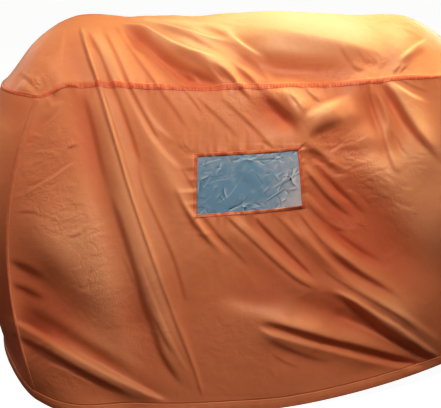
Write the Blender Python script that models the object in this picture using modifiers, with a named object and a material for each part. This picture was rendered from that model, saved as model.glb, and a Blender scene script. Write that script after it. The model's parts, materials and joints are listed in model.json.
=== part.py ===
"""Emergency tent: a poleless group shelter of coated nylon, in the shape that it has in use.

The shelter is sewn from five panels, a front and a back wall, two end walls and a roof with two
low peaks on its ridge. It has a clear window in the front wall, a vent sleeve in each end wall, a
hem channel with a drawcord and a cord lock, and two seat flaps on the ground. Lengths are metres,
+Z is up and the front wall faces -Y.
"""
import bpy
import bmesh
import math
import numpy as np
from mathutils import Matrix, Vector

# Plan of the shelter
HEM_HALF_LENGTH = 0.620
SEAM_HALF_LENGTH = 0.550
CORNER_BULGE = 0.070
HEM_CORNER_DEPTH = 0.365
SEAM_CORNER_DEPTH = 0.165
FRONT_HEM_DEPTH = 0.575
BACK_HEM_DEPTH = 0.420
SEAM_DEPTH = 0.210
HEM_END_BULGE = 0.070
SEAM_END_BULGE = 0.115
FRONT_APEX_SHIFT = 0.22

# The front left hem corner is drawn forwards and inwards over these ranges of x and y
CORNER_PULL = 0.110
CORNER_DRAW = 0.045
PULL_ALONG = (0.30, 0.60)
PULL_ACROSS = (0.18, 0.36)
PULL_POWER = 1.5

# Plan roundness: the powers of a wall's profile at its top and hem edges
WALL_POWER_TOP = 2.3
WALL_POWER_HEM = 2.6
END_POWER_TOP = 2.4
END_POWER_HEM = 4.0

# Heights
SEAM_HEIGHT = 0.752
SEAM_SAG = 0.010
LOW_CORNER_DROP = 0.036
LOW_CORNER_START = 0.84
ROOF_RISE = 0.140
ROOF_POWER = 1.8
RIDGE_RUN_IN = 0.27
RIDGE_TILT = 0.010
RIDGE_BLEND = 0.35
PEAK_SPACING = 0.808
PEAK_RISE = 0.008
PEAK_RADIUS = 0.080
RAISED_CORNER = 0.038
LIFT_POWER = 0.7
FRONT_LIFT_START = 0.05
BACK_LIFT_START = 0.70
END_LIFT_START = 0.45
WINDOW_TILT = 0.034

# Cloth, seams and running gaps
CLOTH = 0.0008
TAPE_WIDTH = 0.012
TAPE_THICKNESS = 0.0007
LAP = 0.0004
SEAM_GAP = 0.0007
HEM_HEIGHT = 0.022
HEM_WIDTH = 0.0080
HEM_FOOT = 0.0056
HEM_NECK = 0.0048
HEM_CORNER_CUT = 0.0030
HEM_BELLY = 0.35
HEM_NECK_LEVEL = 0.985

# Window
WINDOW_WIDTH = 0.267
WINDOW_HEIGHT = 0.148
WINDOW_X = -0.0165
WINDOW_CENTRE = 0.696
BINDING_WIDTH = 0.009
FILM = 0.0004

# Vent sleeves
VENT_RADIUS = 0.042
VENT_LENGTH = 0.070
VENT_MOUTH_RADIUS = 0.036
VENT_FLANGE = 0.010
VENT_CENTRE = 0.780
VENT_PATCH = 0.062
VENT_BLEND = 0.035
VENT_WAIST_RADIUS = 0.0416
VENT_WAIST = 0.0315

# Seat flaps
SEAT_WIDTH = 0.290
SEAT_LENGTH = 0.260
SEAT_THICKNESS = 0.0012

# Drawcord and cord lock
CORD_DIAMETER = 0.0030
CORD_EXIT_GAP = 0.036
CORD_SPACING = 0.0038
CORD_GAP = 0.0003
CORD_BEND = 0.012
CORD_TAIL = 0.012
CORD_TURNS = (0.15, 0.4, 0.7, 1.0)
BEAD_RADIUS = 0.0038
LOCK_LENGTH = 0.024
LOCK_DEPTH = 0.012
LOCK_HEIGHT = 0.012
LOCK_WALL = 0.0014
LOCK_EDGE = 0.0012
PLUNGER_SIZE = 0.0070
PLUNGER_WEB = 0.0016
PLUNGER_TRAVEL = 0.0030
BUTTON_REACH = 0.0050
SLIDE_GAP = 0.0003
SPRING_LENGTH = 0.0057
SPRING_WIRE = 0.0006
SPRING_DIAMETER = 0.0048
SPRING_COILS = 4

# Numbers of cells in the cloth grids
CELLS_LONG = 30
CELLS_HIGH = 16
CELLS_DEEP = 10
CORNER_BAND = 0.97
ROUND_STEPS = 24
COIL_STEPS = 8
MERGE_DISTANCE = 1e-6
SMALL_STEP = 1e-3

# Folds as (start, end, sideways bow, half width, height). A place on the front or back cloth is
# (x, run), where run is the way up the cloth: 0 at the hem, WALL_RUN at the roof seam and
# WALL_RUN + HALF_ROOF_RUN on the ridge. On an end wall the first number is y instead of x.
WALL_RUN = 0.75
HALF_ROOF_RUN = 0.27
SEAM_HOLD = 0.55
SEAM_REACH = 0.05
FOLD_RUN_IN = 0.18
FOLD_RUN_OUT = 0.25
HEM_RUN_IN = 0.06
ROOF_RUN_IN = 0.5
END_RUN_OUT = (0.86, 0.98)
EDGE_POWER = 10
LOW_LIFT = math.radians(22.0)
LIFT_RUNS = (0.55, 1.02)
FRONT_FOLDS = (
    ((-0.425, 0.960), (-0.186, 0.030), 0.020, 0.034, 0.024),
    ((-0.470, 0.930), (-0.270, 0.060), 0.030, 0.030, -0.012),
    ((-0.378, 0.920), (-0.150, 0.400), 0.020, 0.028, 0.013),
    ((-0.361, 0.970), (0.136, 0.815), -0.010, 0.030, 0.012),
    ((-0.363, 0.953), (-0.093, 0.766), -0.012, 0.028, -0.012),
    ((-0.100, 0.440), (0.181, 0.200), -0.012, 0.026, 0.010),
    ((0.060, 0.440), (0.455, 0.060), -0.015, 0.030, 0.020),
    ((-0.029, 0.200), (0.470, 0.030), -0.010, 0.034, 0.018),
    ((0.090, 0.250), (0.452, 0.035), -0.010, 0.030, -0.014),
    ((0.395, 0.960), (0.470, 0.450), 0.012, 0.034, 0.016),
    ((0.316, 0.780), (0.420, 0.520), 0.010, 0.030, -0.010),
    ((0.110, 0.600), (0.290, 0.700), 0.010, 0.028, 0.012),
    ((0.122, 0.590), (0.400, 0.560), 0.008, 0.028, -0.010),
    ((-0.620, 0.170), (-0.270, 0.025), -0.012, 0.034, 0.020),
    ((-0.540, 0.700), (-0.600, 0.560), 0.000, 0.030, -0.008),
)
BACK_FOLDS = (
    ((-0.410, 0.980), (-0.300, 0.060), -0.020, 0.036, 0.018),
    ((-0.360, 0.960), (-0.060, 0.300), -0.020, 0.034, 0.012),
    ((0.400, 0.980), (0.330, 0.060), 0.020, 0.036, 0.018),
    ((0.350, 0.950), (0.020, 0.250), 0.025, 0.034, 0.012),
    ((-0.480, 0.300), (0.100, 0.120), 0.030, 0.036, -0.012),
    ((0.500, 0.420), (0.150, 0.080), -0.020, 0.034, 0.014),
)
END_FOLDS = (
    ((-0.110, 0.720), (-0.230, 0.080), 0.015, 0.034, 0.014),
    ((0.110, 0.720), (0.210, 0.060), -0.015, 0.034, 0.012),
    ((-0.170, 0.280), (0.170, 0.180), 0.012, 0.034, -0.010),
)

ORANGE = (0.80, 0.25, 0.09)
SEAM_ORANGE = (0.85, 0.20, 0.09)
SEAT_BLACK = (0.030, 0.030, 0.034)
CLEAR_FILM = (0.42, 0.55, 0.62)
CORD_ORANGE = (0.62, 0.13, 0.05)
LOCK_BLACK = (0.020, 0.020, 0.022)
SPRING_STEEL = (0.55, 0.55, 0.56)

COLLECTION = "group_emergency_shelter"
CUTTERS = "cutters"
INSIDE = Vector((0.0, 0.0, 0.35))


def clear_scene():
    """Empty the scene and make the two collections."""
    for thing in list(bpy.data.objects):
        bpy.data.objects.remove(thing, do_unlink=True)
    for name in (COLLECTION, CUTTERS):
        bpy.context.scene.collection.children.link(bpy.data.collections.new(name))


def material(name, colour, roughness, metallic=0.0):
    """A plain Principled finish, made once for each name."""
    finish = bpy.data.materials.get(name)
    if finish is None:
        finish = bpy.data.materials.new(name)
        finish.use_nodes = True
        shader = finish.node_tree.nodes["Principled BSDF"]
        shader.inputs["Base Color"].default_value = (*colour, 1.0)
        shader.inputs["Roughness"].default_value = roughness
        shader.inputs["Metallic"].default_value = metallic
    return finish


def shell_nylon():
    return material("coated_nylon", ORANGE, 0.45)


def tape_nylon():
    return material("seam_nylon", SEAM_ORANGE, 0.55)


def lock_plastic():
    return material("lock_plastic", LOCK_BLACK, 0.35)


def add_object(name, data, finish, collection=COLLECTION):
    """Link an object that carries the mesh or curve to a collection."""
    thing = bpy.data.objects.new(name, data)
    data.materials.append(finish)
    bpy.data.collections[collection].objects.link(thing)
    return thing


# Shape of the held-up cloth
# u runs along the shelter and w across it, both from -1 to 1; v runs from the ground, 0, to the
# roof seam, 1.

def hump(v):
    """1 half way up a wall and 0 at its two edges."""
    return 4.0 * v * (1.0 - v)


def ease(t):
    """Smooth step from 0 to 1."""
    t = np.clip(t, 0.0, 1.0)
    return t * t * (3.0 - 2.0 * t)


def ramp(value, start, end):
    """Smooth step of a value from 0 at the start to 1 at the end."""
    return ease((value - start) / (end - start))


def mix(low, high, t):
    return low + (high - low) * t


def half_length(v):
    return mix(HEM_HALF_LENGTH, SEAM_HALF_LENGTH, v) + CORNER_BULGE * hump(v)


def corner_depth(v):
    return mix(HEM_CORNER_DEPTH, SEAM_CORNER_DEPTH, v)


def end_bulge(v):
    return mix(HEM_END_BULGE, SEAM_END_BULGE, v)


def roundness(u, apex, power):
    """Plan profile of a wall: 0 at both corners and 1 at the apex."""
    t = np.where(u > apex, (u - apex) / (1.0 - apex), (apex - u) / (1.0 + apex))
    return 1.0 - np.abs(t) ** power


def seam_height(u):
    """The roof seam sags a little between the corners and drops at the front left corner."""
    low_corner = np.where(u < 0.0, ramp(np.abs(u), LOW_CORNER_START, 1.0), 0.0)
    return SEAM_HEIGHT - SEAM_SAG * (1.0 - u * u) - LOW_CORNER_DROP * low_corner


def hem_height(u, start):
    """The hem lies on the ground and lifts towards the two right corners."""
    way = np.clip((u - start) / (1.0 - start), 0.0, 1.0)
    return RAISED_CORNER * ease(way ** LIFT_POWER)


def pull_corner(place):
    """Move the front left hem corner, and the cloth above it less and less."""
    share = ramp(-place[..., 0], *PULL_ALONG) * ramp(-place[..., 1], *PULL_ACROSS)
    low = np.clip(1.0 - place[..., 2] / SEAM_HEIGHT, 0.0, 1.0) ** PULL_POWER
    place[..., 0] += CORNER_DRAW * share * low
    place[..., 1] -= CORNER_PULL * share * low
    return place


def smooth_least(a, b, blend):
    """The smaller of two values with a rounded change from one to the other."""
    h = np.clip(0.5 + 0.5 * (b - a) / blend, 0.0, 1.0)
    return b * (1.0 - h) + a * h - blend * h * (1.0 - h)


def fold_profile(distance, width):
    """A soft crest with a shallow trough on each side."""
    t = (distance / width) ** 2
    return (1.0 - 0.5 * t) * np.exp(-0.5 * t)


def fold_height(across, run, folds):
    """Sum of the folds at a place on the cloth."""
    total = 0.0 * across
    for (x0, g0), (x1, g1), bow, width, height in folds:
        long_x, long_g = x1 - x0, g1 - g0
        length = math.hypot(long_x, long_g)
        along = ((across - x0) * long_x + (run - g0) * long_g) / length ** 2
        aside = ((across - x0) * long_g - (run - g0) * long_x) / length
        on_line = np.clip(along, 0.0, 1.0)
        aside = aside - bow * 4.0 * on_line * (1.0 - on_line)
        beyond = (along - on_line) * length
        fade = ease(on_line / FOLD_RUN_IN) * ease((1.0 - on_line) / FOLD_RUN_OUT)
        reach = np.exp(-(beyond / width) ** 2)
        total = total + height * fade * reach * fold_profile(aside, width)
    held_by_seam = SEAM_HOLD * np.exp(-((run - WALL_RUN) / SEAM_REACH) ** 2)
    return total * (1.0 - held_by_seam)


def lift_angle(run):
    """Angle of the fold direction above level: low on the wall, straight up on the ridge."""
    return mix(LOW_LIFT, math.pi / 2.0, ramp(run, *LIFT_RUNS))


def edge_fade(t):
    """Folds die out at the corner seams."""
    return 1.0 - np.abs(t) ** EDGE_POWER


def bare_wall(u, v, side):
    """Front (side -1) or back (side 1) wall without its folds."""
    hem_depth = FRONT_HEM_DEPTH if side < 0 else BACK_HEM_DEPTH
    apex = -FRONT_APEX_SHIFT * (1.0 - v) if side < 0 else 0.0 * v
    lift_start = FRONT_LIFT_START if side < 0 else BACK_LIFT_START
    profile = roundness(u, apex, mix(WALL_POWER_HEM, WALL_POWER_TOP, v))
    y = mix(corner_depth(v), mix(hem_depth, SEAM_DEPTH, v), profile)
    low = hem_height(u, lift_start)
    tilt = WINDOW_TILT * u * (1.0 - u * u) * hump(v) if side < 0 else 0.0
    z = mix(low, seam_height(u), v) + tilt
    return np.stack([u * half_length(v), side * y, z], -1)


def wall(u, v, side):
    """Front or back wall with its folds."""
    place = bare_wall(u, v, side)
    folds = FRONT_FOLDS if side < 0 else BACK_FOLDS
    run = v * WALL_RUN
    push = fold_height(place[..., 0], run, folds) * edge_fade(u) * ease(v / HEM_RUN_IN)
    tip = lift_angle(run)
    place[..., 1] += side * push * np.cos(tip)
    place[..., 2] += push * np.sin(tip)
    return pull_corner(place)


def vent_flatness(w, v):
    """1 on the flat patch round a vent and 0 away from it."""
    across = np.abs(w) * corner_depth(VENT_CENTRE)
    up = np.abs(v - VENT_CENTRE) * SEAM_HEIGHT
    return 1.0 - ramp(np.maximum(across, up), VENT_PATCH, VENT_PATCH + VENT_BLEND)


def bare_end(w, v, side):
    """Left (side -1) or right (side 1) end wall without folds, w from front to back."""
    profile = 1.0 - np.abs(w) ** mix(END_POWER_HEM, END_POWER_TOP, v)
    x = half_length(v) + end_bulge(v) * profile
    low = RAISED_CORNER * ramp(np.abs(w), END_LIFT_START, 1.0) if side > 0 else 0.0 * w
    top = SEAM_HEIGHT - (LOW_CORNER_DROP if side < 0 else 0.0)
    return np.stack([side * x, w * corner_depth(v), mix(low, top, v)], -1)


def vent_frame(side):
    """Centre, outward normal and upward direction of the flat patch of an end wall."""
    levels = VENT_CENTRE + np.array([-SMALL_STEP, 0.0, SMALL_STEP])
    below, centre, above = (Vector(place) for place in bare_end(0.0 * levels, levels, side))
    upward = (above - below).normalized()
    return centre, Vector((0.0, side, 0.0)).cross(upward).normalized(), upward


def end_wall(w, v, side):
    """End wall with its folds and with a flat patch for the vent."""
    place = bare_end(w, v, side)
    run = v * WALL_RUN
    away = 1.0 - vent_flatness(w, v)
    push = fold_height(place[..., 1], run, END_FOLDS) * edge_fade(w) * ease(v / HEM_RUN_IN)
    place[..., 0] += side * push * away * (1.0 - ramp(v, *END_RUN_OUT))
    centre, outward, _ = vent_frame(side)
    height = (place - np.array(centre)) @ np.array(outward)
    return pull_corner(place - ((1.0 - away) * height)[..., None] * np.array(outward))


def roof(s, w):
    """Roof: a patch between the four seams, raised to a ridge with two low peaks."""
    one = np.ones_like(s)
    along, across = (s + 1.0) / 2.0, (w + 1.0) / 2.0
    front_edge, back_edge = bare_wall(s, one, -1), bare_wall(s, one, 1)
    left_edge, right_edge = bare_end(w, one, -1), bare_end(w, one, 1)
    place = ((1.0 - across)[..., None] * front_edge + across[..., None] * back_edge
             + (1.0 - along)[..., None] * left_edge + along[..., None] * right_edge)
    for corner_s, share_s in ((-1.0, 1.0 - along), (1.0, along)):
        for side, share_w in ((-1, 1.0 - across), (1, across)):
            corner = bare_wall(np.full_like(s, corner_s), one, side)
            place = place - (share_s * share_w)[..., None] * corner
    run_in = smooth_least(one, (1.0 - np.abs(s)) / RIDGE_RUN_IN, RIDGE_BLEND)
    crown = (1.0 - np.abs(w) ** ROOF_POWER) * run_in
    place[..., 2] += (ROOF_RISE - RIDGE_TILT * s) * crown
    for peak in (-PEAK_SPACING / 2.0, PEAK_SPACING / 2.0):
        away = ((place[..., 0] - peak) ** 2 + place[..., 1] ** 2) / PEAK_RADIUS ** 2
        place[..., 2] += PEAK_RISE * np.exp(-away)
    for side, folds in ((-1, FRONT_FOLDS), (1, BACK_FOLDS)):
        run = WALL_RUN + HALF_ROOF_RUN * (1.0 - side * w)
        held = edge_fade(s) * ease((1.0 + side * w) / ROOF_RUN_IN)
        push = fold_height(place[..., 0], run, folds) * held
        tip = lift_angle(run)
        place[..., 1] += side * push * np.cos(tip)
        place[..., 2] += push * np.sin(tip)
    return place


# Grid lines
# A line's number t runs from -1 to 1. The last band on each side, beyond CORNER_BAND, is always
# half a seam tape wide, whatever the wall's own size is at that height.

def from_line(t, half_size):
    """Turn a line's number into u or w on a wall of this half size."""
    inner = 1.0 - TAPE_WIDTH / 2.0 / half_size
    beyond = 1.0 - (1.0 - np.abs(t)) / (1.0 - CORNER_BAND) * (1.0 - inner)
    return np.where(np.abs(t) > CORNER_BAND, np.sign(t) * beyond, t / CORNER_BAND * inner)


def to_line(x, half_size):
    """The number of the line at distance x from the middle of a wall."""
    return x / half_size * CORNER_BAND / (1.0 - TAPE_WIDTH / 2.0 / half_size)


def spread(marks, cells):
    """Lines through every mark, with even steps between them and about this many cells."""
    pitch = (marks[-1] - marks[0]) / cells
    lines = [marks[0]]
    for low, high in zip(marks, marks[1:]):
        steps = max(1, round((high - low) / pitch))
        lines += [low + (high - low) * (i + 1) / steps for i in range(steps)]
    return np.array(lines)


def window_edges():
    """Line numbers of the window opening and of its binding, along and up the front wall."""
    width_here = half_length(WINDOW_CENTRE)
    sides = [to_line(WINDOW_X + offset, width_here) for offset in (
        -WINDOW_WIDTH / 2 - BINDING_WIDTH, -WINDOW_WIDTH / 2,
        WINDOW_WIDTH / 2, WINDOW_WIDTH / 2 + BINDING_WIDTH)]
    slant = math.hypot(SEAM_HEIGHT, FRONT_HEM_DEPTH - SEAM_DEPTH)
    levels = [WINDOW_CENTRE + offset / slant for offset in (
        -WINDOW_HEIGHT / 2 - BINDING_WIDTH, -WINDOW_HEIGHT / 2,
        WINDOW_HEIGHT / 2, WINDOW_HEIGHT / 2 + BINDING_WIDTH)]
    return sides, levels


WINDOW_SIDES, WINDOW_LEVELS = window_edges()
HEM_TOP = HEM_HEIGHT / SEAM_HEIGHT
TAPE_TOP = 1.0 - TAPE_WIDTH / 2.0 / SEAM_HEIGHT
PATCH_LINE = to_line(VENT_PATCH, corner_depth(VENT_CENTRE))
PATCH_LEVELS = [VENT_CENTRE + offset / SEAM_HEIGHT for offset in (-VENT_PATCH, VENT_PATCH)]
LONG_LINES = spread([-1.0, -CORNER_BAND, *WINDOW_SIDES, CORNER_BAND, 1.0], CELLS_LONG)
HIGH_LINES = spread(sorted([HEM_TOP, *WINDOW_LEVELS, *PATCH_LEVELS, TAPE_TOP, 1.0]), CELLS_HIGH)
DEEP_LINES = spread([-1.0, -CORNER_BAND, -PATCH_LINE, PATCH_LINE, CORNER_BAND, 1.0], CELLS_DEEP)


# Making cloth pieces

def grid_points(place, first_lines, second_lines):
    """Places of all crossings of two sets of lines."""
    first, second = np.meshgrid(first_lines, second_lines, indexing="ij")
    return place(first, second)


def front_place(t, v):
    return wall(from_line(t, half_length(v)), v, -1)


def back_place(t, v):
    return wall(from_line(t, half_length(v)), v, 1)


def left_place(t, v):
    return end_wall(from_line(t, corner_depth(v)), v, -1)


def right_place(t, v):
    return end_wall(from_line(t, corner_depth(v)), v, 1)


def roof_place(t, d):
    return roof(from_line(t, SEAM_HALF_LENGTH), from_line(d, SEAM_CORNER_DEPTH))


def trimmed(lines, low_cut, high_cut):
    """The same lines with the outer two moved inwards."""
    lines = lines.copy()
    lines[0] += low_cut
    lines[-1] -= high_cut
    return lines


def band_cut(distance):
    """Step in a line's number that is this far in from a corner seam."""
    return distance / (TAPE_WIDTH / 2.0) * (1.0 - CORNER_BAND)


def open_grid(points, turned=()):
    """Open mesh with a vertex for each point of a two-way array, and the numbers of each vertex.

    Every cell is two triangles. Their shared edge joins the corner of low numbers to the corner of
    high numbers, or the other two corners in the turned rows, so that a tape and the panel under
    it are folded alike.
    """
    first, second = points.shape[:2]
    mesh = bmesh.new()
    bmesh.ops.create_grid(mesh, x_segments=first - 1, y_segments=second - 1, size=1.0)
    numbers = {}
    for vertex in mesh.verts:
        i = round((vertex.co.x + 1.0) / 2.0 * (first - 1))
        j = round((vertex.co.y + 1.0) / 2.0 * (second - 1))
        numbers[vertex] = (i, j)
        vertex.co = Vector(points[i, j])
    for face in list(mesh.faces):
        corner = {numbers[vertex]: vertex for vertex in face.verts}
        i, j = min(corner)
        if j in turned:
            bmesh.utils.face_split(face, corner[i + 1, j], corner[i, j + 1])
        else:
            bmesh.utils.face_split(face, corner[i, j], corner[i + 1, j + 1])
    return mesh, numbers


def face_away(mesh, centre_of):
    """Turn an open surface so that its faces look away from the point given for each face."""
    mesh.normal_update()
    outward = sum(face.normal.dot(face.calc_center_median() - centre_of(face)) * face.calc_area()
                  for face in mesh.faces)
    if outward < 0.0:
        bmesh.ops.reverse_faces(mesh, faces=mesh.faces)


def finish_mesh(name, mesh, finish, smooth=True):
    data = bpy.data.meshes.new(name)
    mesh.to_mesh(data)
    mesh.free()
    if smooth:
        data.shade_smooth()
    return add_object(name, data, finish)


def thicken(thing, thickness, start=0.0, outward=True):
    """Give an open surface a wall that begins this far from it."""
    solidify = thing.modifiers.new("Thickness", "SOLIDIFY")
    solidify.thickness = thickness
    offset = 1.0 + 2.0 * start / thickness
    solidify.offset = offset if outward else -offset
    return thing


def cloth(name, points, finish, thickness, start=0.0, outward=True, hole=None, turned=()):
    """A sheet through the points. The hole is two ranges of cells that are left out."""
    mesh, numbers = open_grid(points, turned)
    if hole is not None:
        (i0, i1), (j0, j1) = hole
        inside = [face for face in mesh.faces
                  if i0 <= min(numbers[v][0] for v in face.verts) < i1
                  and j0 <= min(numbers[v][1] for v in face.verts) < j1]
        bmesh.ops.delete(mesh, geom=inside, context="FACES")
    bmesh.ops.remove_doubles(mesh, verts=mesh.verts, dist=MERGE_DISTANCE)
    face_away(mesh, lambda face: INSIDE)
    return thicken(finish_mesh(name, mesh, finish), thickness, start, outward)


def index_of(lines, value):
    return int(np.argmin(np.abs(lines - value)))


def make_panels():
    """The five sewn panels, with the window opening cut in the front wall."""
    sides = trimmed(LONG_LINES, band_cut(SEAM_GAP), band_cut(SEAM_GAP))
    levels = trimmed(HIGH_LINES, LAP / SEAM_HEIGHT, SEAM_GAP / SEAM_HEIGHT)
    depths = trimmed(DEEP_LINES, band_cut(SEAM_GAP), band_cut(SEAM_GAP))
    opening = ((index_of(LONG_LINES, WINDOW_SIDES[1]), index_of(LONG_LINES, WINDOW_SIDES[2])),
               (index_of(HIGH_LINES, WINDOW_LEVELS[1]), index_of(HIGH_LINES, WINDOW_LEVELS[2])))
    for name, place, first, second, hole in (
            ("front_wall", front_place, sides, levels, opening),
            ("back_wall", back_place, sides, levels, None),
            ("left_end_wall", left_place, depths, levels, None),
            ("right_end_wall", right_place, depths, levels, None),
            ("roof_panel", roof_place, sides, depths, None)):
        points = grid_points(place, first, second)
        cloth(name, points, shell_nylon(), CLOTH, outward=False, hole=hole)


def make_window():
    """Clear film behind the opening and the stitched binding round it."""
    i0, i3 = index_of(LONG_LINES, WINDOW_SIDES[0]), index_of(LONG_LINES, WINDOW_SIDES[3])
    j0, j3 = index_of(HIGH_LINES, WINDOW_LEVELS[0]), index_of(HIGH_LINES, WINDOW_LEVELS[3])
    points = grid_points(front_place, LONG_LINES[i0:i3 + 1], HIGH_LINES[j0:j3 + 1])
    film_finish = material("window_film", CLEAR_FILM, 0.15)
    cloth("window_film", points, film_finish, FILM, start=CLOTH + LAP, outward=False)
    middle = ((1, i3 - i0 - 1), (1, j3 - j0 - 1))
    cloth("window_binding", points, tape_nylon(), TAPE_THICKNESS, start=LAP, hole=middle)


def mitred(lines):
    """Lines of a roof seam's upper edge, which stops at the diagonal of each corner."""
    short = CORNER_BAND - band_cut(LAP)
    return np.clip(lines, -short, short)


def make_roof_tapes():
    """Four tapes that cover the seam between the roof and the walls."""
    band = CORNER_BAND
    for name, wall_place, lines, on_roof, turned in (
            ("roof_seam_front", front_place, LONG_LINES, lambda t: roof_place(t, 0 * t - band), ()),
            ("roof_seam_back", back_place, LONG_LINES, lambda t: roof_place(t, 0 * t + band), (1,)),
            ("roof_seam_left", left_place, DEEP_LINES, lambda t: roof_place(0 * t - band, t), ()),
            ("roof_seam_right", right_place, DEEP_LINES, lambda t: roof_place(0 * t + band, t),
             (1,))):
        ends = trimmed(lines, band_cut(SEAM_GAP), band_cut(SEAM_GAP))
        rows = (wall_place(ends, np.full_like(ends, TAPE_TOP)),
                wall_place(ends, np.ones_like(ends)), on_roof(mitred(ends)))
        cloth(name, np.stack(rows, 1), tape_nylon(), TAPE_THICKNESS, start=LAP, turned=turned)


def make_corner_tapes():
    """Four tapes that run down the corners from the roof seam to the hem."""
    levels = HIGH_LINES[:-1].copy()
    levels[0] += LAP / SEAM_HEIGHT
    levels[-1] -= SEAM_GAP / SEAM_HEIGHT
    for name, wall_place, end_place, t, d in (
            ("corner_seam_front_left", front_place, left_place, -1.0, -1.0),
            ("corner_seam_front_right", front_place, right_place, 1.0, -1.0),
            ("corner_seam_back_left", back_place, left_place, -1.0, 1.0),
            ("corner_seam_back_right", back_place, right_place, 1.0, 1.0)):
        turned = [row for row, backwards in ((0, t < 0.0), (1, d > 0.0)) if backwards]
        rows = (wall_place(np.full_like(levels, t * CORNER_BAND), levels),
                wall_place(np.full_like(levels, t), levels),
                end_place(np.full_like(levels, d * CORNER_BAND), levels))
        cloth(name, np.stack(rows, 1), tape_nylon(), TAPE_THICKNESS, start=LAP, turned=turned)


# Hem channel and drawcord

def hem_outward(place, t):
    """Level outward direction at one station of a wall's ground line."""
    stations = t + np.array([-SMALL_STEP, SMALL_STEP])
    before, after = (Vector(point) for point in place(stations, 0.0 * stations))
    outward = (after - before).cross(Vector((0.0, 0.0, 1.0))).normalized()
    return outward if outward.dot(before) > 0.0 else -outward


def channel_ring(place, t):
    """Outline of the channel at one station: a foot on the ground, a belly and a stitched neck."""
    outline = ((-HEM_FOOT / 2, 0.0), (HEM_FOOT / 2, 0.0), (HEM_WIDTH / 2, HEM_BELLY),
               (HEM_NECK / 2, HEM_NECK_LEVEL), (-HEM_NECK / 2, HEM_NECK_LEVEL),
               (-HEM_WIDTH / 2, HEM_BELLY))
    outward = hem_outward(place, t)
    return [Vector(place(np.array(t), np.array(share * HEM_TOP))) + outward * aside
            for aside, share in outline]


def make_channel(name, place, stations):
    """A hollow sleeve of cloth through the outlines at the stations, open at both ends."""
    rings = np.array([[*ring, ring[0]] for ring in (channel_ring(place, t) for t in stations)])
    mesh, numbers = open_grid(rings)
    centres = [Vector(ring[:-1].mean(axis=0)) for ring in rings]
    station = {face: min(numbers[v][0] for v in face.verts) for face in mesh.faces}
    face_away(mesh, lambda face: (centres[station[face]] + centres[station[face] + 1]) / 2)
    bmesh.ops.remove_doubles(mesh, verts=mesh.verts, dist=MERGE_DISTANCE)
    return thicken(finish_mesh(name, mesh, tape_nylon()), CLOTH, outward=False)


def between(lines, low, high):
    """The lines between two numbers, with the two as the first and the last."""
    return [low, *(t for t in lines if low < t < high), high]


def hem_runs():
    """Stations of the five stretches of channel, in the order that the drawcord goes."""
    end = 1.0 - band_cut(HEM_CORNER_CUT)
    exit_line = to_line(CORD_EXIT_GAP / 2.0, HEM_HALF_LENGTH)
    return {
        "hem_channel_back_left": (back_place, between(LONG_LINES, -end, -exit_line)[::-1]),
        "hem_channel_left": (left_place, between(DEEP_LINES, -end, end)[::-1]),
        "hem_channel_front": (front_place, between(LONG_LINES, -end, end)),
        "hem_channel_right": (right_place, between(DEEP_LINES, -end, end)),
        "hem_channel_back_right": (back_place, between(LONG_LINES, exit_line, end)[::-1]),
    }


def cord_level():
    """Height of the cord's middle above the foot of the channel."""
    return CLOTH + CORD_GAP + CORD_DIAMETER / 2.0


def lock_centre():
    """Middle of the cord hole, behind the gap in the back channel."""
    ground = Vector(back_place(np.array(0.0), np.array(0.0)))
    y = ground.y + CORD_BEND + LOCK_DEPTH / 2.0 + CORD_DIAMETER
    return Vector((0.0, y, CORD_GAP + LOCK_HEIGHT / 2.0))


def exit_bend(side):
    """Points from the mouth of the channel round the bend and out through the lock."""
    centre = lock_centre()
    x = side * CORD_SPACING / 2.0
    ground = Vector(back_place(np.array(0.0), np.array(0.0)))
    points = []
    for turn in CORD_TURNS:
        angle = turn * math.pi / 2.0
        rise = float(ease(turn))
        points.append(Vector((
            x + side * CORD_BEND * (1.0 - math.sin(angle)),
            ground.y + CORD_BEND * (1.0 - math.cos(angle)),
            cord_level() + (centre.z - cord_level()) * rise)))
    points.append(Vector((x, centre.y + LOCK_DEPTH / 2.0 + CORD_TAIL, centre.z)))
    return points


def drawcord_route():
    """From the left tail round the whole hem to the right tail."""
    route = list(reversed(exit_bend(-1)))
    cord_share = np.array(cord_level() / SEAM_HEIGHT)
    for place, stations in hem_runs().values():
        straight = BACK_LIFT_START if place is back_place else 0.0
        kept = [t for i, t in enumerate(stations) if abs(t) > straight or i % 2 == 0]
        route += [Vector(place(np.array(t), cord_share)) for t in kept]
    return route + exit_bend(1)


def tube_curve(name, points, radius, finish, resolution):
    """A round tube along a list of points, with filled ends."""
    curve = bpy.data.curves.new(name, "CURVE")
    curve.dimensions = "3D"
    curve.bevel_depth = radius
    curve.bevel_resolution = resolution
    curve.use_fill_caps = True
    spline = curve.splines.new("POLY")
    spline.points.add(len(points) - 1)
    for control, point in zip(spline.points, points):
        control.co = (*point, 1.0)
    return add_object(name, curve, finish)


def make_drawcord():
    finish = material("drawcord", CORD_ORANGE, 0.7)
    tube_curve("hem_drawcord", drawcord_route(), CORD_DIAMETER / 2.0, finish, 2)


# Cord lock

def box(name, low, high, finish, collection=COLLECTION):
    """A box between two corners, made from a cube primitive."""
    mesh = bmesh.new()
    bmesh.ops.create_cube(mesh, size=1.0)
    size = Vector(high) - Vector(low)
    bmesh.ops.scale(mesh, vec=size, verts=mesh.verts)
    bmesh.ops.translate(mesh, vec=(Vector(low) + Vector(high)) / 2.0, verts=mesh.verts)
    data = bpy.data.meshes.new(name)
    mesh.to_mesh(data)
    mesh.free()
    return add_object(name, data, finish, collection)


def make_cutter(thing):
    thing.hide_render = True
    thing.display_type = "WIRE"
    return thing


def cut(thing, cutter):
    """Cut one object by another, which stays in the cutters' collection."""
    boolean = thing.modifiers.new("Cut", "BOOLEAN")
    boolean.operation = "DIFFERENCE"
    boolean.object = make_cutter(cutter)


def round_edges(thing, width, segments=2):
    bevel = thing.modifiers.new("Rounded edges", "BEVEL")
    bevel.width = width
    bevel.segments = segments
    bevel.limit_method = "ANGLE"


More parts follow.
